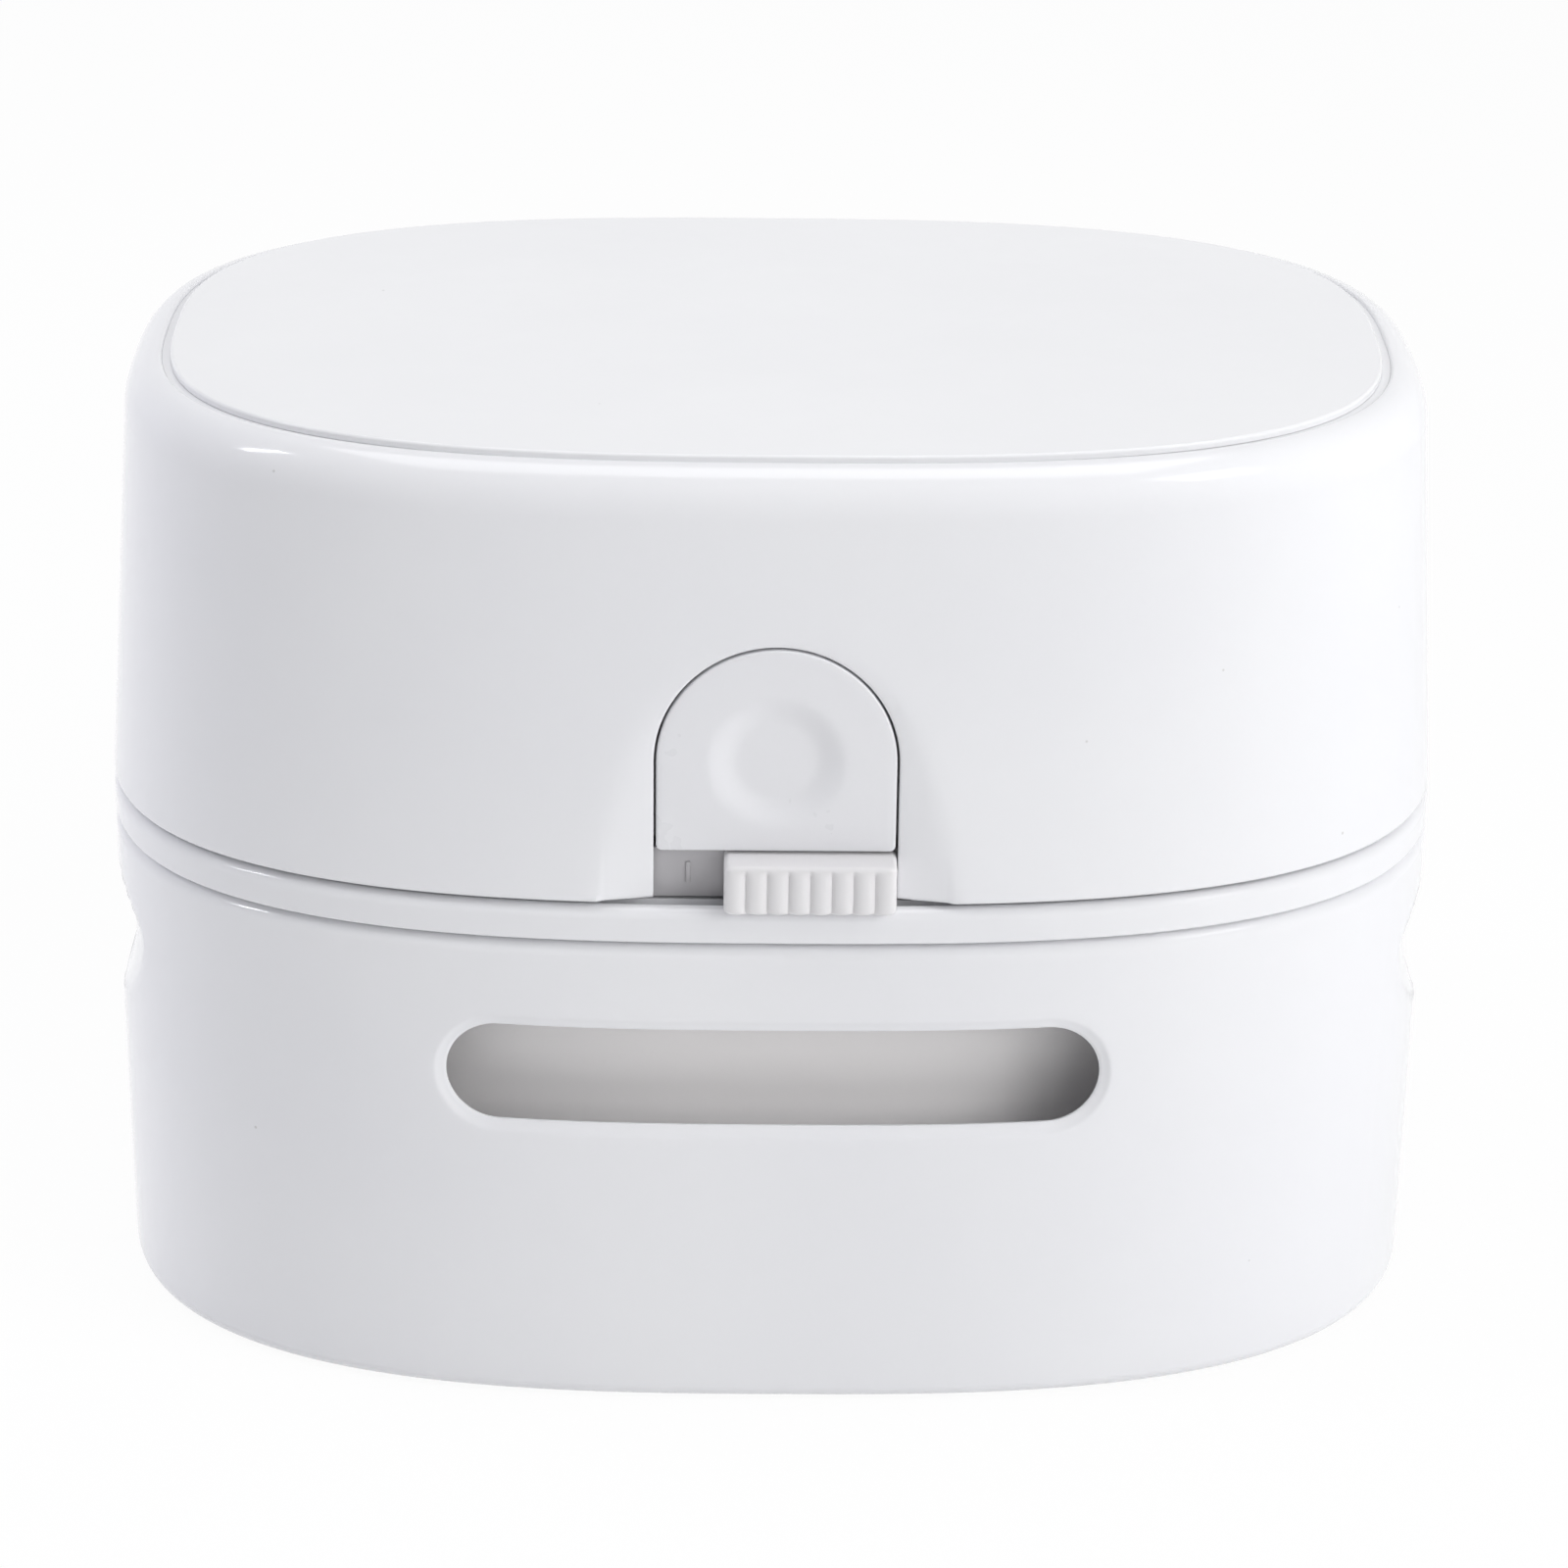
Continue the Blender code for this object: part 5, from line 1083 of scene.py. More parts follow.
def build_chassis():
    lap = WALL + 2 * SEAT_GAP
    foot = BAND_FOOT_ROUND
    crest_z = DECK_Z + BAND_CREST
    profile = [
        (lap + SPIGOT_WALL, DECK_Z),
        (lap + SPIGOT_WALL, SHELL_Z + SPIGOT_RISE),
        (lap, SHELL_Z + SPIGOT_RISE),
        (lap, crest_z - BAND_GROOVE),
        (BAND_SHOULDER + 0.0001, crest_z - BAND_GROOVE),
        (BAND_SHOULDER + 0.0001, crest_z),
        *arc((BAND_SHOULDER, crest_z - BAND_SHOULDER), (BAND_SHOULDER, BAND_SHOULDER), 90, 180, 8),
        *arc((foot, BAND_Z + foot), (foot, foot), 180, 270, 3),
        (lap, BAND_Z),
        (lap, BAND_Z - SKIRT_DROP),
        (lap + SPIGOT_WALL, BAND_Z - SKIRT_DROP),
        (lap + SPIGOT_WALL, BAND_Z),
    ]
    chassis = oval_loft("chassis_deck", profile, SHELL_WHITE)
    front = -(HALF_DEPTH - lap + CUT_OVERRUN)
    clear_x = NOTCH_HALF_WIDTH + LATCH_CUT_CLEARANCE
    top = SHELL_Z + SPIGOT_RISE + CUT_OVERRUN
    combine(chassis, box("cut", (-clear_x, front, DECK_Z), (clear_x, BRACKET_Y, top)))
    low = BAND_Z - SKIRT_DROP - CUT_OVERRUN
    combine(chassis, box("cut", (-clear_x, front, low), (clear_x, BRACKET_Y, BAND_Z)))
    for side in (-1, 1):
        x0, x1 = sorted(
            (
                side * (FORK_LEG_REACH - FORK_LEG_WIDTH - SEAT_GAP),
                side * (FORK_LEG_REACH + SEAT_GAP),
            )
        )
        slot = box(
            "cut",
            (x0, FORK_Y - SEAT_GAP, BAND_Z - CUT_OVERRUN),
            (x1, FORK_Y + FORK_THICKNESS + BUTTON_TRAVEL, DECK_Z + CUT_OVERRUN),
        )
        combine(chassis, slot)
        catch = box(
            "catch",
            (x0, FORK_Y - SEAT_GAP - CATCH_THICKNESS, DECK_Z - BAND_HEIGHT / 2),
            (x1, FORK_Y - SEAT_GAP, DECK_Z + CATCH_HEIGHT),
        )
        combine(chassis, catch, "UNION")
    bracket = box(
        "bracket",
        (-BRACKET_WIDTH / 2, BRACKET_Y, DECK_Z - BAND_HEIGHT / 2),
        (BRACKET_WIDTH / 2, BRACKET_Y + BRACKET_THICKNESS, SPRING_Z + SPRING_RADIUS + SPRING_WIRE),
    )
    combine(chassis, bracket, "UNION")
    base = DECK_Z - BAND_HEIGHT / 2
    rim = DECK_Z + MOTOR_COLLAR_HEIGHT
    pocket = MOTOR_RADIUS + SEAT_GAP
    collar = round_bar("collar", pocket + MOTOR_COLLAR_WALL, (0, 0, base), (0, 0, rim), 96)
    combine(chassis, collar, "UNION")
    combine(chassis, round_bar("cut", pocket, (0, 0, DECK_Z), (0, 0, rim + CUT_OVERRUN), 96))
    nose = MOTOR_NOSE_RADIUS + SEAT_GAP
    under, over = BAND_Z - CUT_OVERRUN, DECK_Z + CUT_OVERRUN
    combine(chassis, round_bar("cut", nose, (0, 0, under), (0, 0, over)))
    hole = SCREW_RADIUS + SCREW_HOLE_PLAY
    for side in (-1, 1):
        x = side * FAN_POST_REACH
        post_low = FAN_FLOOR_HEIGHT + FAN_FLOOR_THICKNESS + SEAT_GAP
        post = round_bar("post", FAN_POST_RADIUS, (x, 0, post_low), (x, 0, base))
        combine(chassis, post, "UNION")
        pilot_top = FAN_FLOOR_HEIGHT + SCREW_LENGTH + CUT_OVERRUN
        combine(chassis, round_bar("cut", hole, (x, 0, FAN_FLOOR_HEIGHT), (x, 0, pilot_top), 24))
    for x, y in boss_places():
        combine(chassis, round_bar("cut", hole, (x, y, under), (x, y, over), 24))
    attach(finish_surface(chassis), "power_unit")
    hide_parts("chassis")


def boss_places():
    return [(sx * BOSS_REACH_X, sy * BOSS_REACH_Y) for sx in (-1, 1) for sy in (-1, 1)]


# Upper housing with the button's notch

def soft_deeper(first, second, blend):
    """The deeper (larger y) of two faces, with a rounded change between them."""
    near = max(blend - abs(first - second), 0.0) / blend
    return max(first, second) + near * near * blend / 4


def notch_distance(x, z):
    if z > ARCH_Z:
        return math.hypot(x, z - ARCH_Z) - NOTCH_HALF_WIDTH
    return abs(x) - NOTCH_HALF_WIDTH


def housing_face_y(x, z):
    """The upper housing's front face, with the soft bevel that sinks towards the notch."""
    wall = front_y(x, upper_inset(z))
    away = max(notch_distance(x, z), -NOTCH_EDGE_ROUND)
    bevel = FACE_Y - away * HALO_DEPTH / HALO_GROWTH
    return soft_deeper(wall, bevel, HALO_SOFTNESS)


def build_upper_housing():
    inner_top = upper_inset(CEILING_Z) + WALL
    face_top = ARCH_Z + ARCH_RADIUS + HALO_GROWTH / 2
    foot = SHELL_FOOT_ROUND
    inner = arc(
        (inner_top + CEILING_ROUND, CEILING_Z - CEILING_ROUND),
        (CEILING_ROUND, CEILING_ROUND),
        90,
        180,
        6,
    )
    rings = [oval_ring(inset, z, UPPER_TURNS) for inset, z in inner]
    rings.append(oval_ring(WALL, SHELL_Z, UPPER_TURNS))
    outer = [(foot - foot * math.sin(math.radians(d)), SHELL_Z + foot - foot * math.cos(math.radians(d)))
             for d in range(0, 91, 18)]
    outer += [(0.0, z) for z in rows(SHELL_Z + foot, face_top, FACE_STEP)[1:]]
    outer += [(0.0, z) for z in rows(face_top, SHOULDER_Z, ROW_STEP)[1:-1]]
    for rounding, z in outer:
        ring = oval_ring(upper_inset(z) + rounding, z, UPPER_TURNS)
        for point in ring:
            if point.y < 0 and abs(point.x) < HALO_REACH and z < face_top:
                point.y = housing_face_y(point.x, z) + rounding
        rings.append(ring)
    top_z = RIM_Z + RIM_GROWTH
    step_inset, step_z = RIM_INSET + GROOVE_STEP, top_z - GROOVE_DEPTH
    rim = arc((RIM_INSET, SHOULDER_Z), (RIM_WIDTH, RIM_ROUND_HEIGHT + RIM_GROWTH), 180, 97, 20)
    lip = arc((RIM_INSET - RIM_LIP, top_z - RIM_LIP), (RIM_LIP, RIM_LIP), 80, 0, 5)
    groove = [(RIM_INSET, step_z), (step_inset, step_z), (step_inset, RECESS_Z)]
    for inset, z in rim + lip + groove:
        rings.append(oval_ring(inset, z, UPPER_TURNS))
    housing = loft("upper_housing_shell", rings, SHELL_WHITE)
    combine(housing, notch_cutter())
    for x, y in boss_places():
        low, high = (x, y, DECK_Z + SEAT_GAP), (x, y, CEILING_Z + FLOOR_THICKNESS / 2)
        combine(housing, round_bar("boss", BOSS_RADIUS, low, high), "UNION")
        low, high = (x, y, DECK_Z - CUT_OVERRUN), (x, y, BAND_Z + SCREW_LENGTH + CUT_OVERRUN)
        combine(housing, round_bar("cut", SCREW_RADIUS + SCREW_HOLE_PLAY, low, high, 24))
    for side in (-1, 1):
        half_x = CELL_RADIUS + CELL_CLEARANCE
        half_y = tray_half_length() - TRAY_WALL
        x = side * CELL_SPACING
        bay = box(
            "cut",
            (x - half_x, -half_y, CEILING_Z - CUT_OVERRUN),
            (x + half_x, half_y, RECESS_Z + CUT_OVERRUN),
        )
        combine(housing, bay)
    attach(finish_surface(housing), "power_unit")
    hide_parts("upper_housing")


def notch_outline(step=0.0004):
    """Points and outward directions of the notch, from its right foot over the arch to its left."""
    foot_z = SHELL_Z - CUT_OVERRUN
    half = NOTCH_HALF_WIDTH
    levels = rows(foot_z, ARCH_Z, step)
    arch_steps = round(math.pi * half / step)
    points = [(Vector((half, z)), Vector((1, 0))) for z in levels]
    for i in range(1, arch_steps):
        turn = math.pi * i / arch_steps
        outward = Vector((math.cos(turn), math.sin(turn)))
        points.append((Vector((0, ARCH_Z)) + outward * half, outward))
    points += [(Vector((-half, z)), Vector((-1, 0))) for z in levels[::-1]]
    return points


def corner_growth(z):
    """How far the notch opens at its lower corners, which are rounded."""
    above = z - SHELL_Z
    if above >= NOTCH_CORNER_ROUND:
        return 0.0
    left = max(above, 0.02 * NOTCH_CORNER_ROUND) / NOTCH_CORNER_ROUND
    return NOTCH_CORNER_ROUND * (1 - math.sqrt(1 - (1 - left) ** 2))


def notch_cutter():
    radius = NOTCH_EDGE_ROUND
    sections = [(0.0, None), (0.0, radius)]
    for degrees in range(15, 76, 15):
        angle = math.radians(degrees)
        sections.append((radius * (1 - math.cos(angle)), radius * (1 - math.sin(angle))))
    last_growth, last_depth = sections[-1]
    lip = last_growth + (last_depth + radius) * math.tan(math.radians(72))
    sections += [(lip, -radius), (lip, -4 * CUT_OVERRUN)]
    rings = []
    for growth, depth in sections:
        ring = []
        for point, outward in notch_outline():
            x, z = point + outward * (growth + corner_growth(point.y))
            if depth is None:
                y = FLANGE_Y + BUTTON_FLANGE
            else:
                y = housing_face_y(x, z) + depth
            ring.append(Vector((x, y, z)))
        rings.append(ring)
    return loft("notch_cutter", rings)


def build_top_cover():
    edge = RIM_INSET + COVER_GAP
    low = COVER_Z - COVER_THICKNESS
    foot = RECESS_Z + SEAT_GAP
    soft = COVER_EDGE_ROUND
    step = RIM_INSET + GROOVE_STEP + COVER_GAP
    step_z = RIM_Z + RIM_GROWTH - GROOVE_DEPTH + SEAT_GAP / 8
    profile = [
        (edge + COVER_SKIRT, low),
        (edge + COVER_SKIRT, foot),
        (step, foot),
        (step, step_z),
        (edge, step_z),
        *arc((edge + soft, COVER_Z - soft), (soft, soft), 180, 90, 10),
    ]
    cover = oval_loft("top_cover_plate", profile, COVER_WHITE)
    for corner in cover.data.vertices:
        corner.co.x *= 1 - COVER_END_GAP / HALF_WIDTH
    for side in (-1, 0, 1):
        y = side * BOSS_REACH_Y
        rib = box(
            "rib",
            (-COVER_RIB_LENGTH / 2, y - COVER_RIB_WIDTH / 2, foot + SEAT_GAP),
            (COVER_RIB_LENGTH / 2, y + COVER_RIB_WIDTH / 2, low + COVER_THICKNESS / 2),
        )
        combine(cover, rib, "UNION")
    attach(finish_surface(cover), "cover")
    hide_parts("top_cover")


# Release button, switch knob and plate

def button_outline(half_width, foot_z, corner, step=0.0004):
    """The arched outline with rounded foot corners: points and outward directions, in (x, z)."""
    points = []
    for i in range(13):
        turn = math.radians(-90 + 90 * i / 12)
        outward = Vector((math.cos(turn), math.sin(turn)))
        centre = Vector((half_width - corner, foot_z + corner))
        points.append((centre + outward * corner, outward))
    for z in rows(foot_z + corner, ARCH_Z, step)[1:]:
        points.append((Vector((half_width, z)), Vector((1, 0))))
    arch_steps = round(math.pi * half_width / step)
    for i in range(1, arch_steps):
        turn = math.pi * i / arch_steps
        outward = Vector((math.cos(turn), math.sin(turn)))
        points.append((Vector((0, ARCH_Z)) + outward * half_width, outward))
    mirrored = [
        (Vector((-p.x, p.y)), Vector((-n.x, n.y))) for p, n in points if p.y <= ARCH_Z and p.x > 0
    ]
    points += mirrored[::-1]
    half_foot = half_width - corner
    for x in rows(-half_foot, half_foot, step)[1:-1]:
        points.append((Vector((x, foot_z)), Vector((0, -1))))
    return points


def dish_depth(radius):
    """Depth of the finger dish at a radius: a flat bottom inside a soft sloping ring."""
    share = (DISH_RADIUS - radius) / (DISH_RADIUS - DISH_FLAT_RADIUS)
    share = min(max(share, 0.0), 1.0)
    return DISH_DEPTH * share * share * (3 - 2 * share)


def build_release_button():
    outline = button_outline(ARCH_RADIUS, BUTTON_FOOT_Z, BUTTON_CORNER_ROUND)
    soft = BUTTON_EDGE_ROUND
    centre = Vector((0, ARCH_Z))
    brim = DISH_RADIUS * 1.05
    rings = []
    flat = [point - outward * soft for point, outward in outline]
    for i in range(1, DISH_RINGS + 1):
        radius = brim * i / DISH_RINGS
        ring = []
        for point in flat:
            spoke = (point - centre).normalized() * radius
            ring.append(Vector((spoke.x, FACE_Y + dish_depth(radius), ARCH_Z + spoke.y)))
        rings.append(ring)
    for share in (0.15, 0.35, 0.6, 0.85):
        ring = []
        for point in flat:
            inner = centre + (point - centre).normalized() * brim
            place = inner.lerp(point, share)
            depth = dish_depth((place - centre).length)
            ring.append(Vector((place.x, FACE_Y + depth, place.y)))
        rings.append(ring)
    for degrees in range(0, 91, 15):
        angle = math.radians(degrees)
        inset, depth = soft * (1 - math.sin(angle)), soft * (1 - math.cos(angle))
        rings.append(
            [Vector((p.x - n.x * inset, FACE_Y + depth, p.y - n.y * inset)) for p, n in outline]
        )
    rings.append([Vector((p.x, FLANGE_BACK_Y, p.y)) for p, n in outline])
    button = loft("release_button_cap", rings, BUTTON_WHITE)
    rim = button_outline(ARCH_RADIUS + BUTTON_FLANGE, BUTTON_FOOT_Z + SEAT_GAP, BUTTON_CORNER_ROUND)
    flange = loft(
        "flange",
        [[Vector((p.x, y, p.y)) for p, n in rim] for y in (FLANGE_Y + SEAT_GAP, FLANGE_BACK_Y)],
    )
    combine(button, flange, "UNION")
    pusher_z = FORK_BAR_Z + FORK_BAR_HEIGHT / 2
    pusher = box(
        "pusher",
        (-PUSHER_WIDTH / 2, FLANGE_Y, pusher_z - PUSHER_HEIGHT / 2),
        (PUSHER_WIDTH / 2, FORK_Y - SEAT_GAP, pusher_z + PUSHER_HEIGHT / 2),
    )
    combine(button, pusher, "UNION")
    tip = FLANGE_BACK_Y + SPRING_PIN_LENGTH
    pin = round_bar("pin", SPRING_PIN_RADIUS, (0, FLANGE_Y, SPRING_Z), (0, tip, SPRING_Z), 32)
    combine(button, pin, "UNION")
    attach(finish_surface(button), "button")
    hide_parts("release_button")


def knob_profile(groove_share):
    """The knob's outline in (x, y): a flat back, rounded sides and eight convex ribs in front."""
    front = -(HALF_DEPTH + KNOB_PROUD)
    back = PANEL_Y - SEAT_GAP
    pitch = KNOB_WIDTH / KNOB_RIBS
    left = KNOB_X - KNOB_WIDTH / 2
    sides = rows(back, front + KNOB_CORNER_ROUND, 0.0006)
    points = [(left, y) for y in sides]
    steps = KNOB_RIBS * KNOB_RIB_STEPS
    for i in range(steps + 1):
        x = left + KNOB_WIDTH * i / steps
        sunk = KNOB_RIB_HEIGHT * (1 - abs(math.sin(math.pi * (x - left) / pitch)) ** 0.7)
        edge = min(x - left, left + KNOB_WIDTH - x) / KNOB_CORNER_ROUND
        if edge < 1:
            sunk *= edge
        roll = KNOB_CORNER_ROUND * (1 - math.sqrt(1 - (1 - min(edge, 1)) ** 2))
        points.append((x, front + sunk * groove_share + roll))
    return points + [(left + KNOB_WIDTH, y) for y in sides[::-1]]


def groove_share(z):
    """How deep the grooves between the ribs are at a height, next to their full depth."""
    share = min(max((KNOB_TOP_Z - z) / KNOB_RIB_FADE - 0.3, 0.0), 1.0)
    return share * share * (3 - 2 * share)


def build_switch_knob():
    back = PANEL_Y - SEAT_GAP
    low, high = KNOB_Z - KNOB_HEIGHT / 2, KNOB_TOP_Z
    soft = KNOB_EDGE_ROUND
    turns = [math.radians(degrees) for degrees in range(0, 91, 15)]
    levels = [(soft - soft * math.sin(turn), low + soft - soft * math.cos(turn)) for turn in turns]
    levels += [(0.0, z) for z in rows(low + soft, high - soft, 0.0003)[1:-1]]
    levels += [(soft - soft * math.cos(turn), high - soft + soft * math.sin(turn)) for turn in turns]
    rings = []
    for inset, z in levels:
        squeeze = 1 - inset / (KNOB_WIDTH / 2)
        ring = []
        for x, y in knob_profile(groove_share(z)):
            depth = min((y - back) + inset, 0.0) if y < back else 0.0
            ring.append(Vector((KNOB_X + (x - KNOB_X) * squeeze, back + depth, z)))
        rings.append(ring)
    knob = loft("switch_knob_slider", rings, KNOB_WHITE)
    stem = box(
        "stem",
        (KNOB_X - KNOB_STEM_WIDTH / 2, back - CUT_OVERRUN, KNOB_Z - KNOB_STEM_HEIGHT / 2),
        (KNOB_X + KNOB_STEM_WIDTH / 2, SWITCH_Y + 0.0022 - SEAT_GAP, KNOB_Z + KNOB_STEM_HEIGHT / 2),
    )
    combine(knob, stem, "UNION")
    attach(finish_surface(knob, math.radians(50)), "knob")
    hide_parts("switch_knob")


def build_switch_mark():
    """A plain raised bar on the plate beside the knob."""
    half_width, half_height = MARK_WIDTH / 2, MARK_HEIGHT / 2
    low = (MARK_X - half_width, PANEL_Y - MARK_PROUD, MARK_Z - half_height)
    high = (MARK_X + half_width, PANEL_Y + PANEL_THICKNESS / 2, MARK_Z + half_height)
    mark = box("switch_mark", low, high)
    # The bar takes the plate's darker grey, which is painted shade for the recess.
    mark.data.materials.append(PANEL_PAINTED_SHADE)
    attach(finish_surface(mark, bevel=MARK_PROUD * 0.6), "power_unit")


def build_air_guide():
    """The raised wall on the fan housing's front that shows through the air slot."""
    rings = []
    soft, corner = GUIDE_END_ROUND, GUIDE_CORNER
    for x in rows(GUIDE_LEFT_X, GUIDE_RIGHT_X, 0.0005):
        near = min(x - GUIDE_LEFT_X, GUIDE_RIGHT_X - x) / soft
        roll = (1 - math.sqrt(1 - (1 - near) ** 2)) if near < 1 else 0.0
        bend = min(max((x - GUIDE_BEND_X) / GUIDE_BEND_LENGTH, 0.0), 1.0)
        start = GUIDE_INSET + GUIDE_BEND_DEPTH * bend * bend * (3 - 2 * bend)
        outer = start + (FAN_HOUSING_INSET - start) * 0.96 * roll
        inner = FAN_HOUSING_INSET + FAN_WALL / 2
        corner_here = min(corner, (FAN_HOUSING_INSET - outer) * 0.8)
        section = [(inner, GUIDE_LOW_Z), (inner, GUIDE_HIGH_Z)]
        centre = (outer + corner_here, GUIDE_HIGH_Z - corner_here)
        section += arc(centre, (corner_here, corner_here), 90, 180, 5)
        centre = (outer + corner_here, GUIDE_LOW_Z + corner_here)
        section += arc(centre, (corner_here, corner_here), 180, 270, 5)
        rings.append([Vector((x, front_y(x, inset), z)) for inset, z in section])
    guide = loft("fan_air_guide", rings, INNER_GREY)
    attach(finish_surface(guide), "power_unit")


def tray_half_length():
    inner = CELL_LENGTH + CELL_NUB_LENGTH + CELL_SPRING_LENGTH + 2 * CONTACT_THICKNESS
    return inner / 2 + 2 * SEAT_GAP + TRAY_WALL


# Springs and filter cloth

def build_springs():
    low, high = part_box("button_spring")
    start = (0, low[1] + SPRING_WIRE / 2, SPRING_Z)
    run = (0, high[1] - low[1] - SPRING_WIRE, 0)
    points = coil_points((SPRING_RADIUS, SPRING_RADIUS), SPRING_TURNS + 1, start, run)
    spring = wire("button_return_spring", points, SPRING_WIRE, SPRING_STEEL)
    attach(spring, "power_unit")
    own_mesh(spring)
    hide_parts("button_spring")
    for name, side in (("left", -1), ("right", 1)):
        low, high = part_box(f"battery_spring_{name}")
        axis_z = (low[2] + high[2]) / 2
        ends = (low[1] + CELL_SPRING_WIRE / 2, high[1] - CELL_SPRING_WIRE / 2)
        wide, tip = ends[::-1] if side > 0 else ends
        points = coil_points(
            (CELL_SPRING_RADIUS, CELL_SPRING_TIP),
            CELL_SPRING_TURNS + 0.5,
            (side * CELL_SPACING, wide, axis_z),
            (0, tip - wide, 0),
        )
        spring = wire(f"cell_spring_{name}", points, CELL_SPRING_WIRE, CONTACT_NICKEL)
        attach(spring, "power_unit")
        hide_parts(f"battery_spring_{name}")


def build_filter_cloth():
    """The filter cloth, with a pressed border and a faint quilted dimpling."""
    low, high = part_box("filter_cloth")
    edge = HALF_WIDTH - high[0]
    middle = (low[2] + high[2]) / 2
    turns = PLAIN_TURNS
    shares = [0.04 * i for i in range(1, 25)] + [0.985, 1.0]
    rings = []
    for face, order in ((1, shares), (-1, shares[::-1])):
        for share in order:
            ring = []
            for turn in turns:
                u, v = superellipse(turn)
                x, y = u * (HALF_WIDTH - edge) * share, v * (HALF_DEPTH - edge) * share
                thick = FILTER_CLOTH_THICKNESS / 2
                quilt = 0.5 + 0.5 * math.cos(x / 0.0009) * math.cos(y / 0.0009)
                border = min((1 - share) / 0.03, 1.0)
                puff = thick * (0.45 + 0.2 * border + 0.35 * border * quilt)
                ring.append(Vector((x, y, middle + face * puff)))
            rings.append(ring)
    cloth = loft("filter_cloth_sheet", rings, FILTER_FELT)
    cloth.data.shade_smooth()
    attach(cloth, "power_unit")
    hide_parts("filter_cloth")


NODE_FINISHES = {
    # The switch plate gets the darker grey that is painted shade for its recess.
    "switch_plate": PANEL_PAINTED_SHADE,
    "slide_switch": SWITCH_BLACK,
    "motor_can": CAN_STEEL,
    "motor_end_cap": FAN_WHITE,
    "motor_terminal_left": CONTACT_NICKEL,
    "motor_terminal_right": CONTACT_NICKEL,
    "motor_shaft": SHAFT_STEEL,
    "impeller": FAN_WHITE,
    "fan_housing": INNER_GREY,
    "filter_frame": INNER_GREY,
    "battery_tray_left": INNER_GREY,
    "battery_tray_right": INNER_GREY,
    "battery_contact_left": CONTACT_NICKEL,
    "battery_contact_right": CONTACT_NICKEL,
    "battery_left": CELL_SLEEVE,
    "battery_right": CELL_SLEEVE,
    "latch_fork": INNER_GREY,
    "chassis_screw_1": SCREW_ZINC,
    "chassis_screw_2": SCREW_ZINC,
    "chassis_screw_3": SCREW_ZINC,
    "chassis_screw_4": SCREW_ZINC,
    "fan_screw_1": SCREW_ZINC,
    "fan_screw_2": SCREW_ZINC,
}


def finish_nodes():
    for name, material in NODE_FINISHES.items():
        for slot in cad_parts[name].material_slots:
            slot.material = material


# Camera, floor and light

CAMERA_TARGET = Vector((0, 0, 0.042))
CAMERA_DISTANCE = 0.450
CAMERA_RISE = 0.400
CAMERA_SWING = -0.012
CAMERA_ROLL = 0.012
CAMERA_LENS = 115.1
CAMERA_SENSOR = 36.0
CAMERA_SHIFT = (0.0082, -0.0062)
FLOOR_GLOW = 0.94
AMBIENT_COLOUR = (0.97, 0.98, 1, 1)
AMBIENT_STRENGTH = 0.28
LAMP_TARGET = (0, 0, 0.045)
COOL = (0.93, 0.93, 1)
PLAIN = (1, 1, 1)
LAMPS = (
    ("key_right", (0.58, -0.36, 0.34), (0.5, 0.45), 2.8, PLAIN, False),
    ("key_front", (0.35, -0.75, 0.35), (0.4, 0.4), 0.7, PLAIN, False),
    ("box_right_high", (0.47, -0.32, 0.62), (0.22, 0.2), 0.5, PLAIN, True),
    ("strip_left_high", (-0.535, -0.074, 0.572), (0.009, 0.18), 0.6, COOL, True),
    ("fill_left_rear", (-0.6, 0.3, 0.15), (0.3, 0.4), 1.5, COOL, False),
    ("fill_left", (-0.7, -0.05, 0.2), (0.3, 0.4), 0.45, COOL, False),
    ("top_soft", (0.0, 0.05, 0.8), (0.6, 0.5), 2.2, PLAIN, True),
)


def aim(obj, place, target):
    obj.location = place
    obj.rotation_euler = (Vector(target) - Vector(place)).to_track_quat("-Z", "Y").to_euler()


def build_camera():
    data = bpy.data.cameras.new("camera")
    data.sensor_width = CAMERA_SENSOR
    data.lens = CAMERA_LENS
    data.shift_x, data.shift_y = CAMERA_SHIFT
    data.clip_start = 0.01
    back = Vector(
        (
            math.sin(CAMERA_SWING) * math.cos(CAMERA_RISE),
            -math.cos(CAMERA_SWING) * math.cos(CAMERA_RISE),
            math.sin(CAMERA_RISE),
        )
    )
    right = (-back).cross(Vector((0, 0, 1))).normalized()
    up = right.cross(-back)
    turned_right = right * math.cos(CAMERA_ROLL) + up * math.sin(CAMERA_ROLL)
    turned_up = up * math.cos(CAMERA_ROLL) - right * math.sin(CAMERA_ROLL)
    camera = bpy.data.objects.new("camera", data)
    axes = Matrix((turned_right, turned_up, back)).transposed().to_4x4()
    camera.matrix_world = Matrix.Translation(CAMERA_TARGET + back * CAMERA_DISTANCE) @ axes
    WORK.objects.link(camera)
    bpy.context.scene.camera = camera


def area_light(name, place, target, size, power, colour=(1, 1, 1)):
    data = bpy.data.lights.new(name, "AREA")
    data.shape = "RECTANGLE"
    data.size, data.size_y = size
    data.energy = power
    data.color = colour
    light = bpy.data.objects.new(name, data)
    WORK.objects.link(light)
    aim(light, place, target)
    return light


def seen_in_view(nodes, links):
    """1 for rays that a viewer sees directly, in a gloss or through glass."""
    path = nodes.new("ShaderNodeLightPath")
    total = path.outputs["Is Camera Ray"]
    for kind in ("Is Glossy Ray", "Is Transmission Ray"):
        either = nodes.new("ShaderNodeMath")
        either.operation = "MAXIMUM"
        links.new(total, either.inputs[0])
        links.new(path.outputs[kind], either.inputs[1])
        total = either.outputs["Value"]
    return total


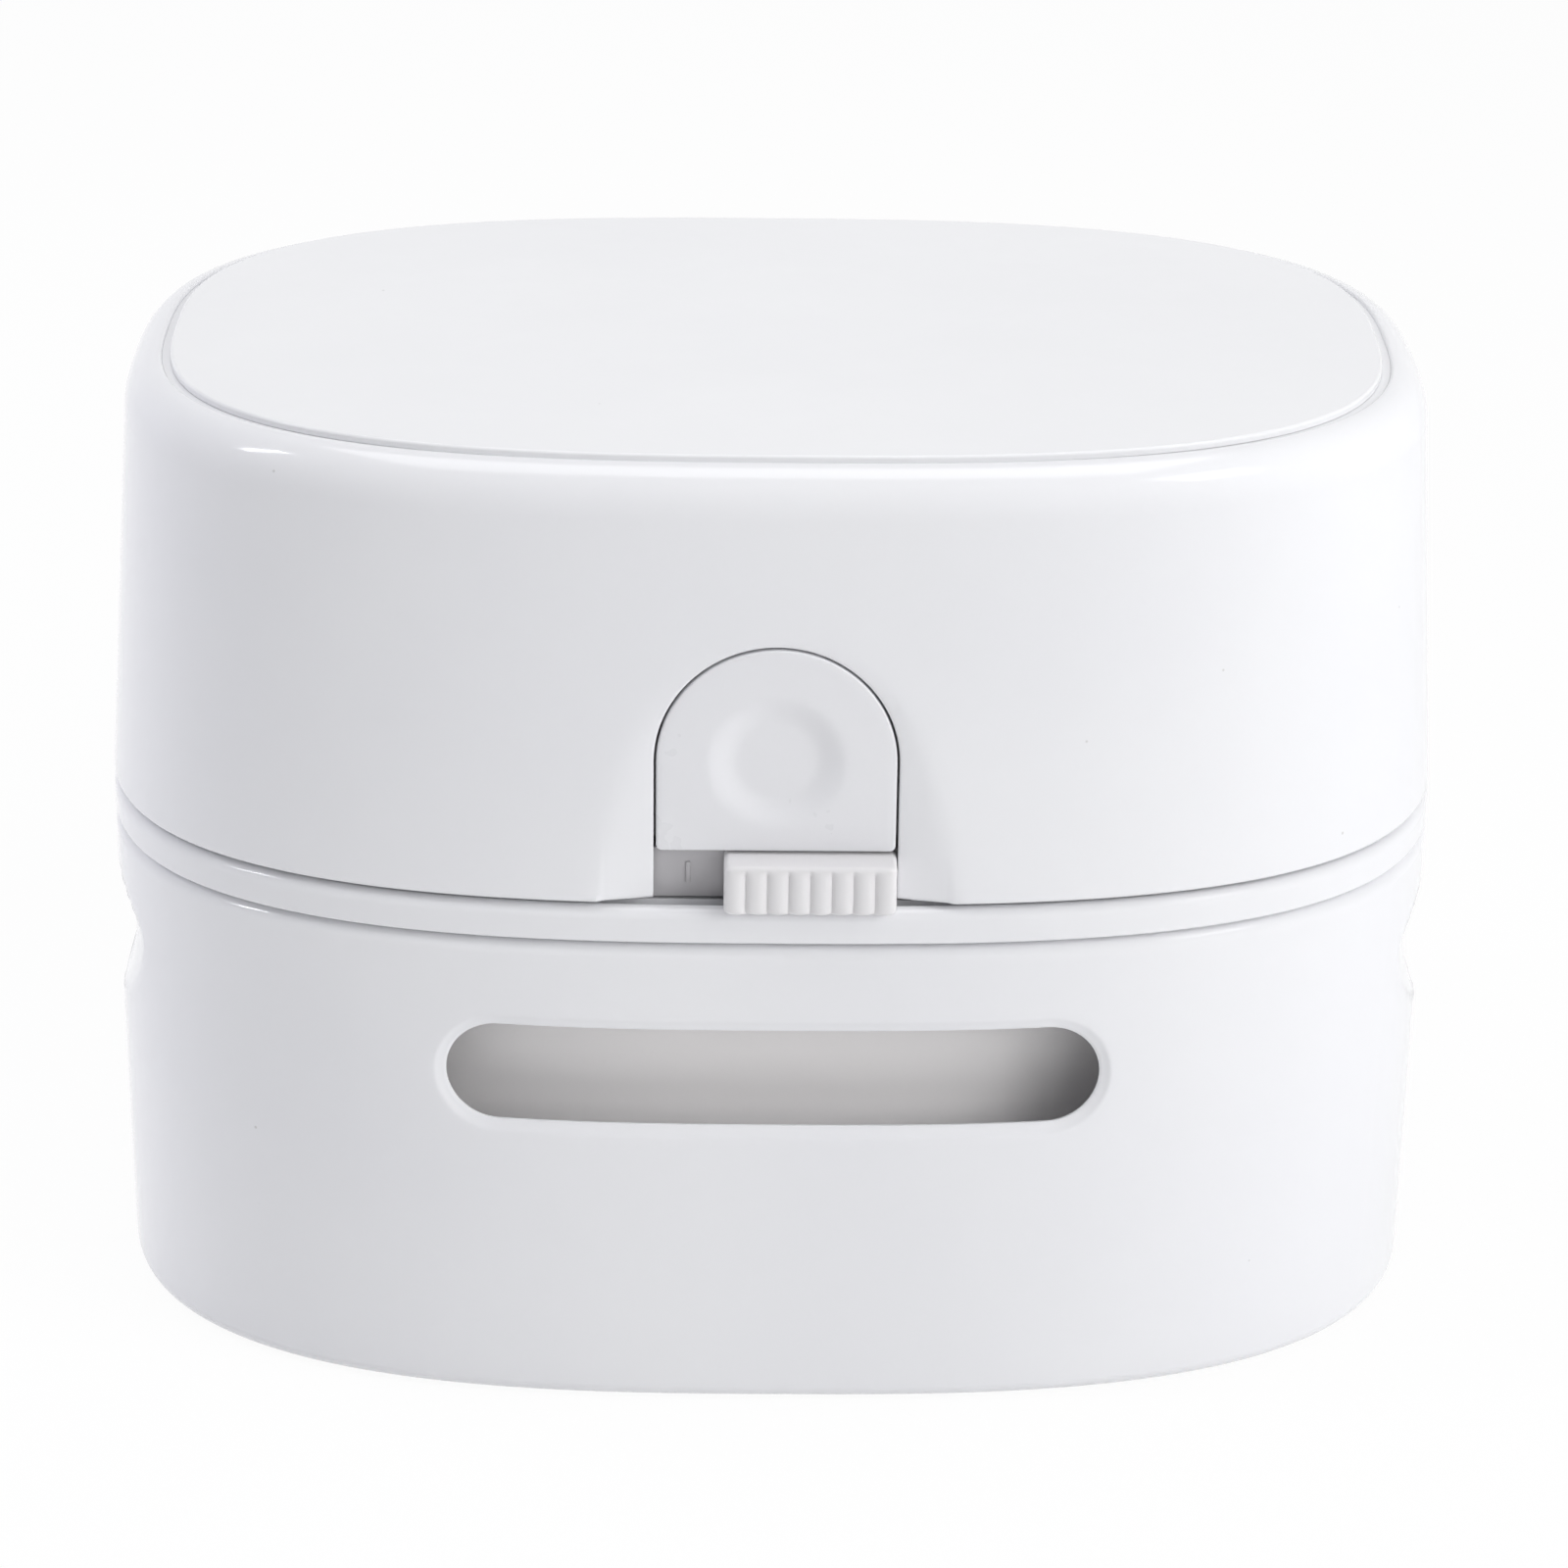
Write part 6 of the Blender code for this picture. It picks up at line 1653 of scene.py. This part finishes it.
def build_stage():
    material, nodes, links, shader = new_material("floor_paper", 0.0, 0.9)
    shader.inputs["Base Color"].default_value = (0.9, 0.9, 0.9, 1)
    glow = nodes.new("ShaderNodeEmission")
    share = nodes.new("ShaderNodeMath")
    share.operation = "MULTIPLY"
    share.inputs[1].default_value = FLOOR_GLOW
    links.new(seen_in_view(nodes, links), share.inputs[0])
    both = nodes.new("ShaderNodeMixShader")
    links.new(share.outputs["Value"], both.inputs["Fac"])
    links.new(shader.outputs["BSDF"], both.inputs[1])
    links.new(glow.outputs["Emission"], both.inputs[2])
    links.new(both.outputs["Shader"], nodes["Material Output"].inputs["Surface"])
    shape = bmesh.new()
    bmesh.ops.create_grid(shape, x_segments=1, y_segments=1, size=3)
    floor = add_object("floor", mesh_of("floor", shape), material)
    floor.location.z = -0.00005


def build_light():
    world = bpy.data.worlds.new("studio")
    bpy.context.scene.world = world
    world.use_nodes = True
    nodes, links = world.node_tree.nodes, world.node_tree.links
    nodes.clear()
    ambient = nodes.new("ShaderNodeBackground")
    ambient.inputs["Color"].default_value = AMBIENT_COLOUR
    ambient.inputs["Strength"].default_value = AMBIENT_STRENGTH
    white = nodes.new("ShaderNodeBackground")
    white.inputs["Color"].default_value = (1, 1, 1, 1)
    both = nodes.new("ShaderNodeMixShader")
    output = nodes.new("ShaderNodeOutputWorld")
    links.new(seen_in_view(nodes, links), both.inputs["Fac"])
    links.new(ambient.outputs["Background"], both.inputs[1])
    links.new(white.outputs["Background"], both.inputs[2])
    links.new(both.outputs["Shader"], output.inputs["Surface"])
    for name, place, size, power, colour, in_gloss in LAMPS:
        lamp = area_light(name, place, LAMP_TARGET, size, power, colour)
        lamp.visible_glossy = in_gloss


build_camera()
build_stage()
build_light()
build_lower_housing()
build_base_plate()
build_nozzle()
build_brush()
build_gasket()
build_chassis()
build_upper_housing()
build_top_cover()
build_release_button()
build_switch_knob()
build_switch_mark()
build_air_guide()
build_springs()
build_filter_cloth()
finish_nodes()

scene = bpy.context.scene
scene.view_settings.view_transform = "Standard"
bpy.context.view_layer.update()
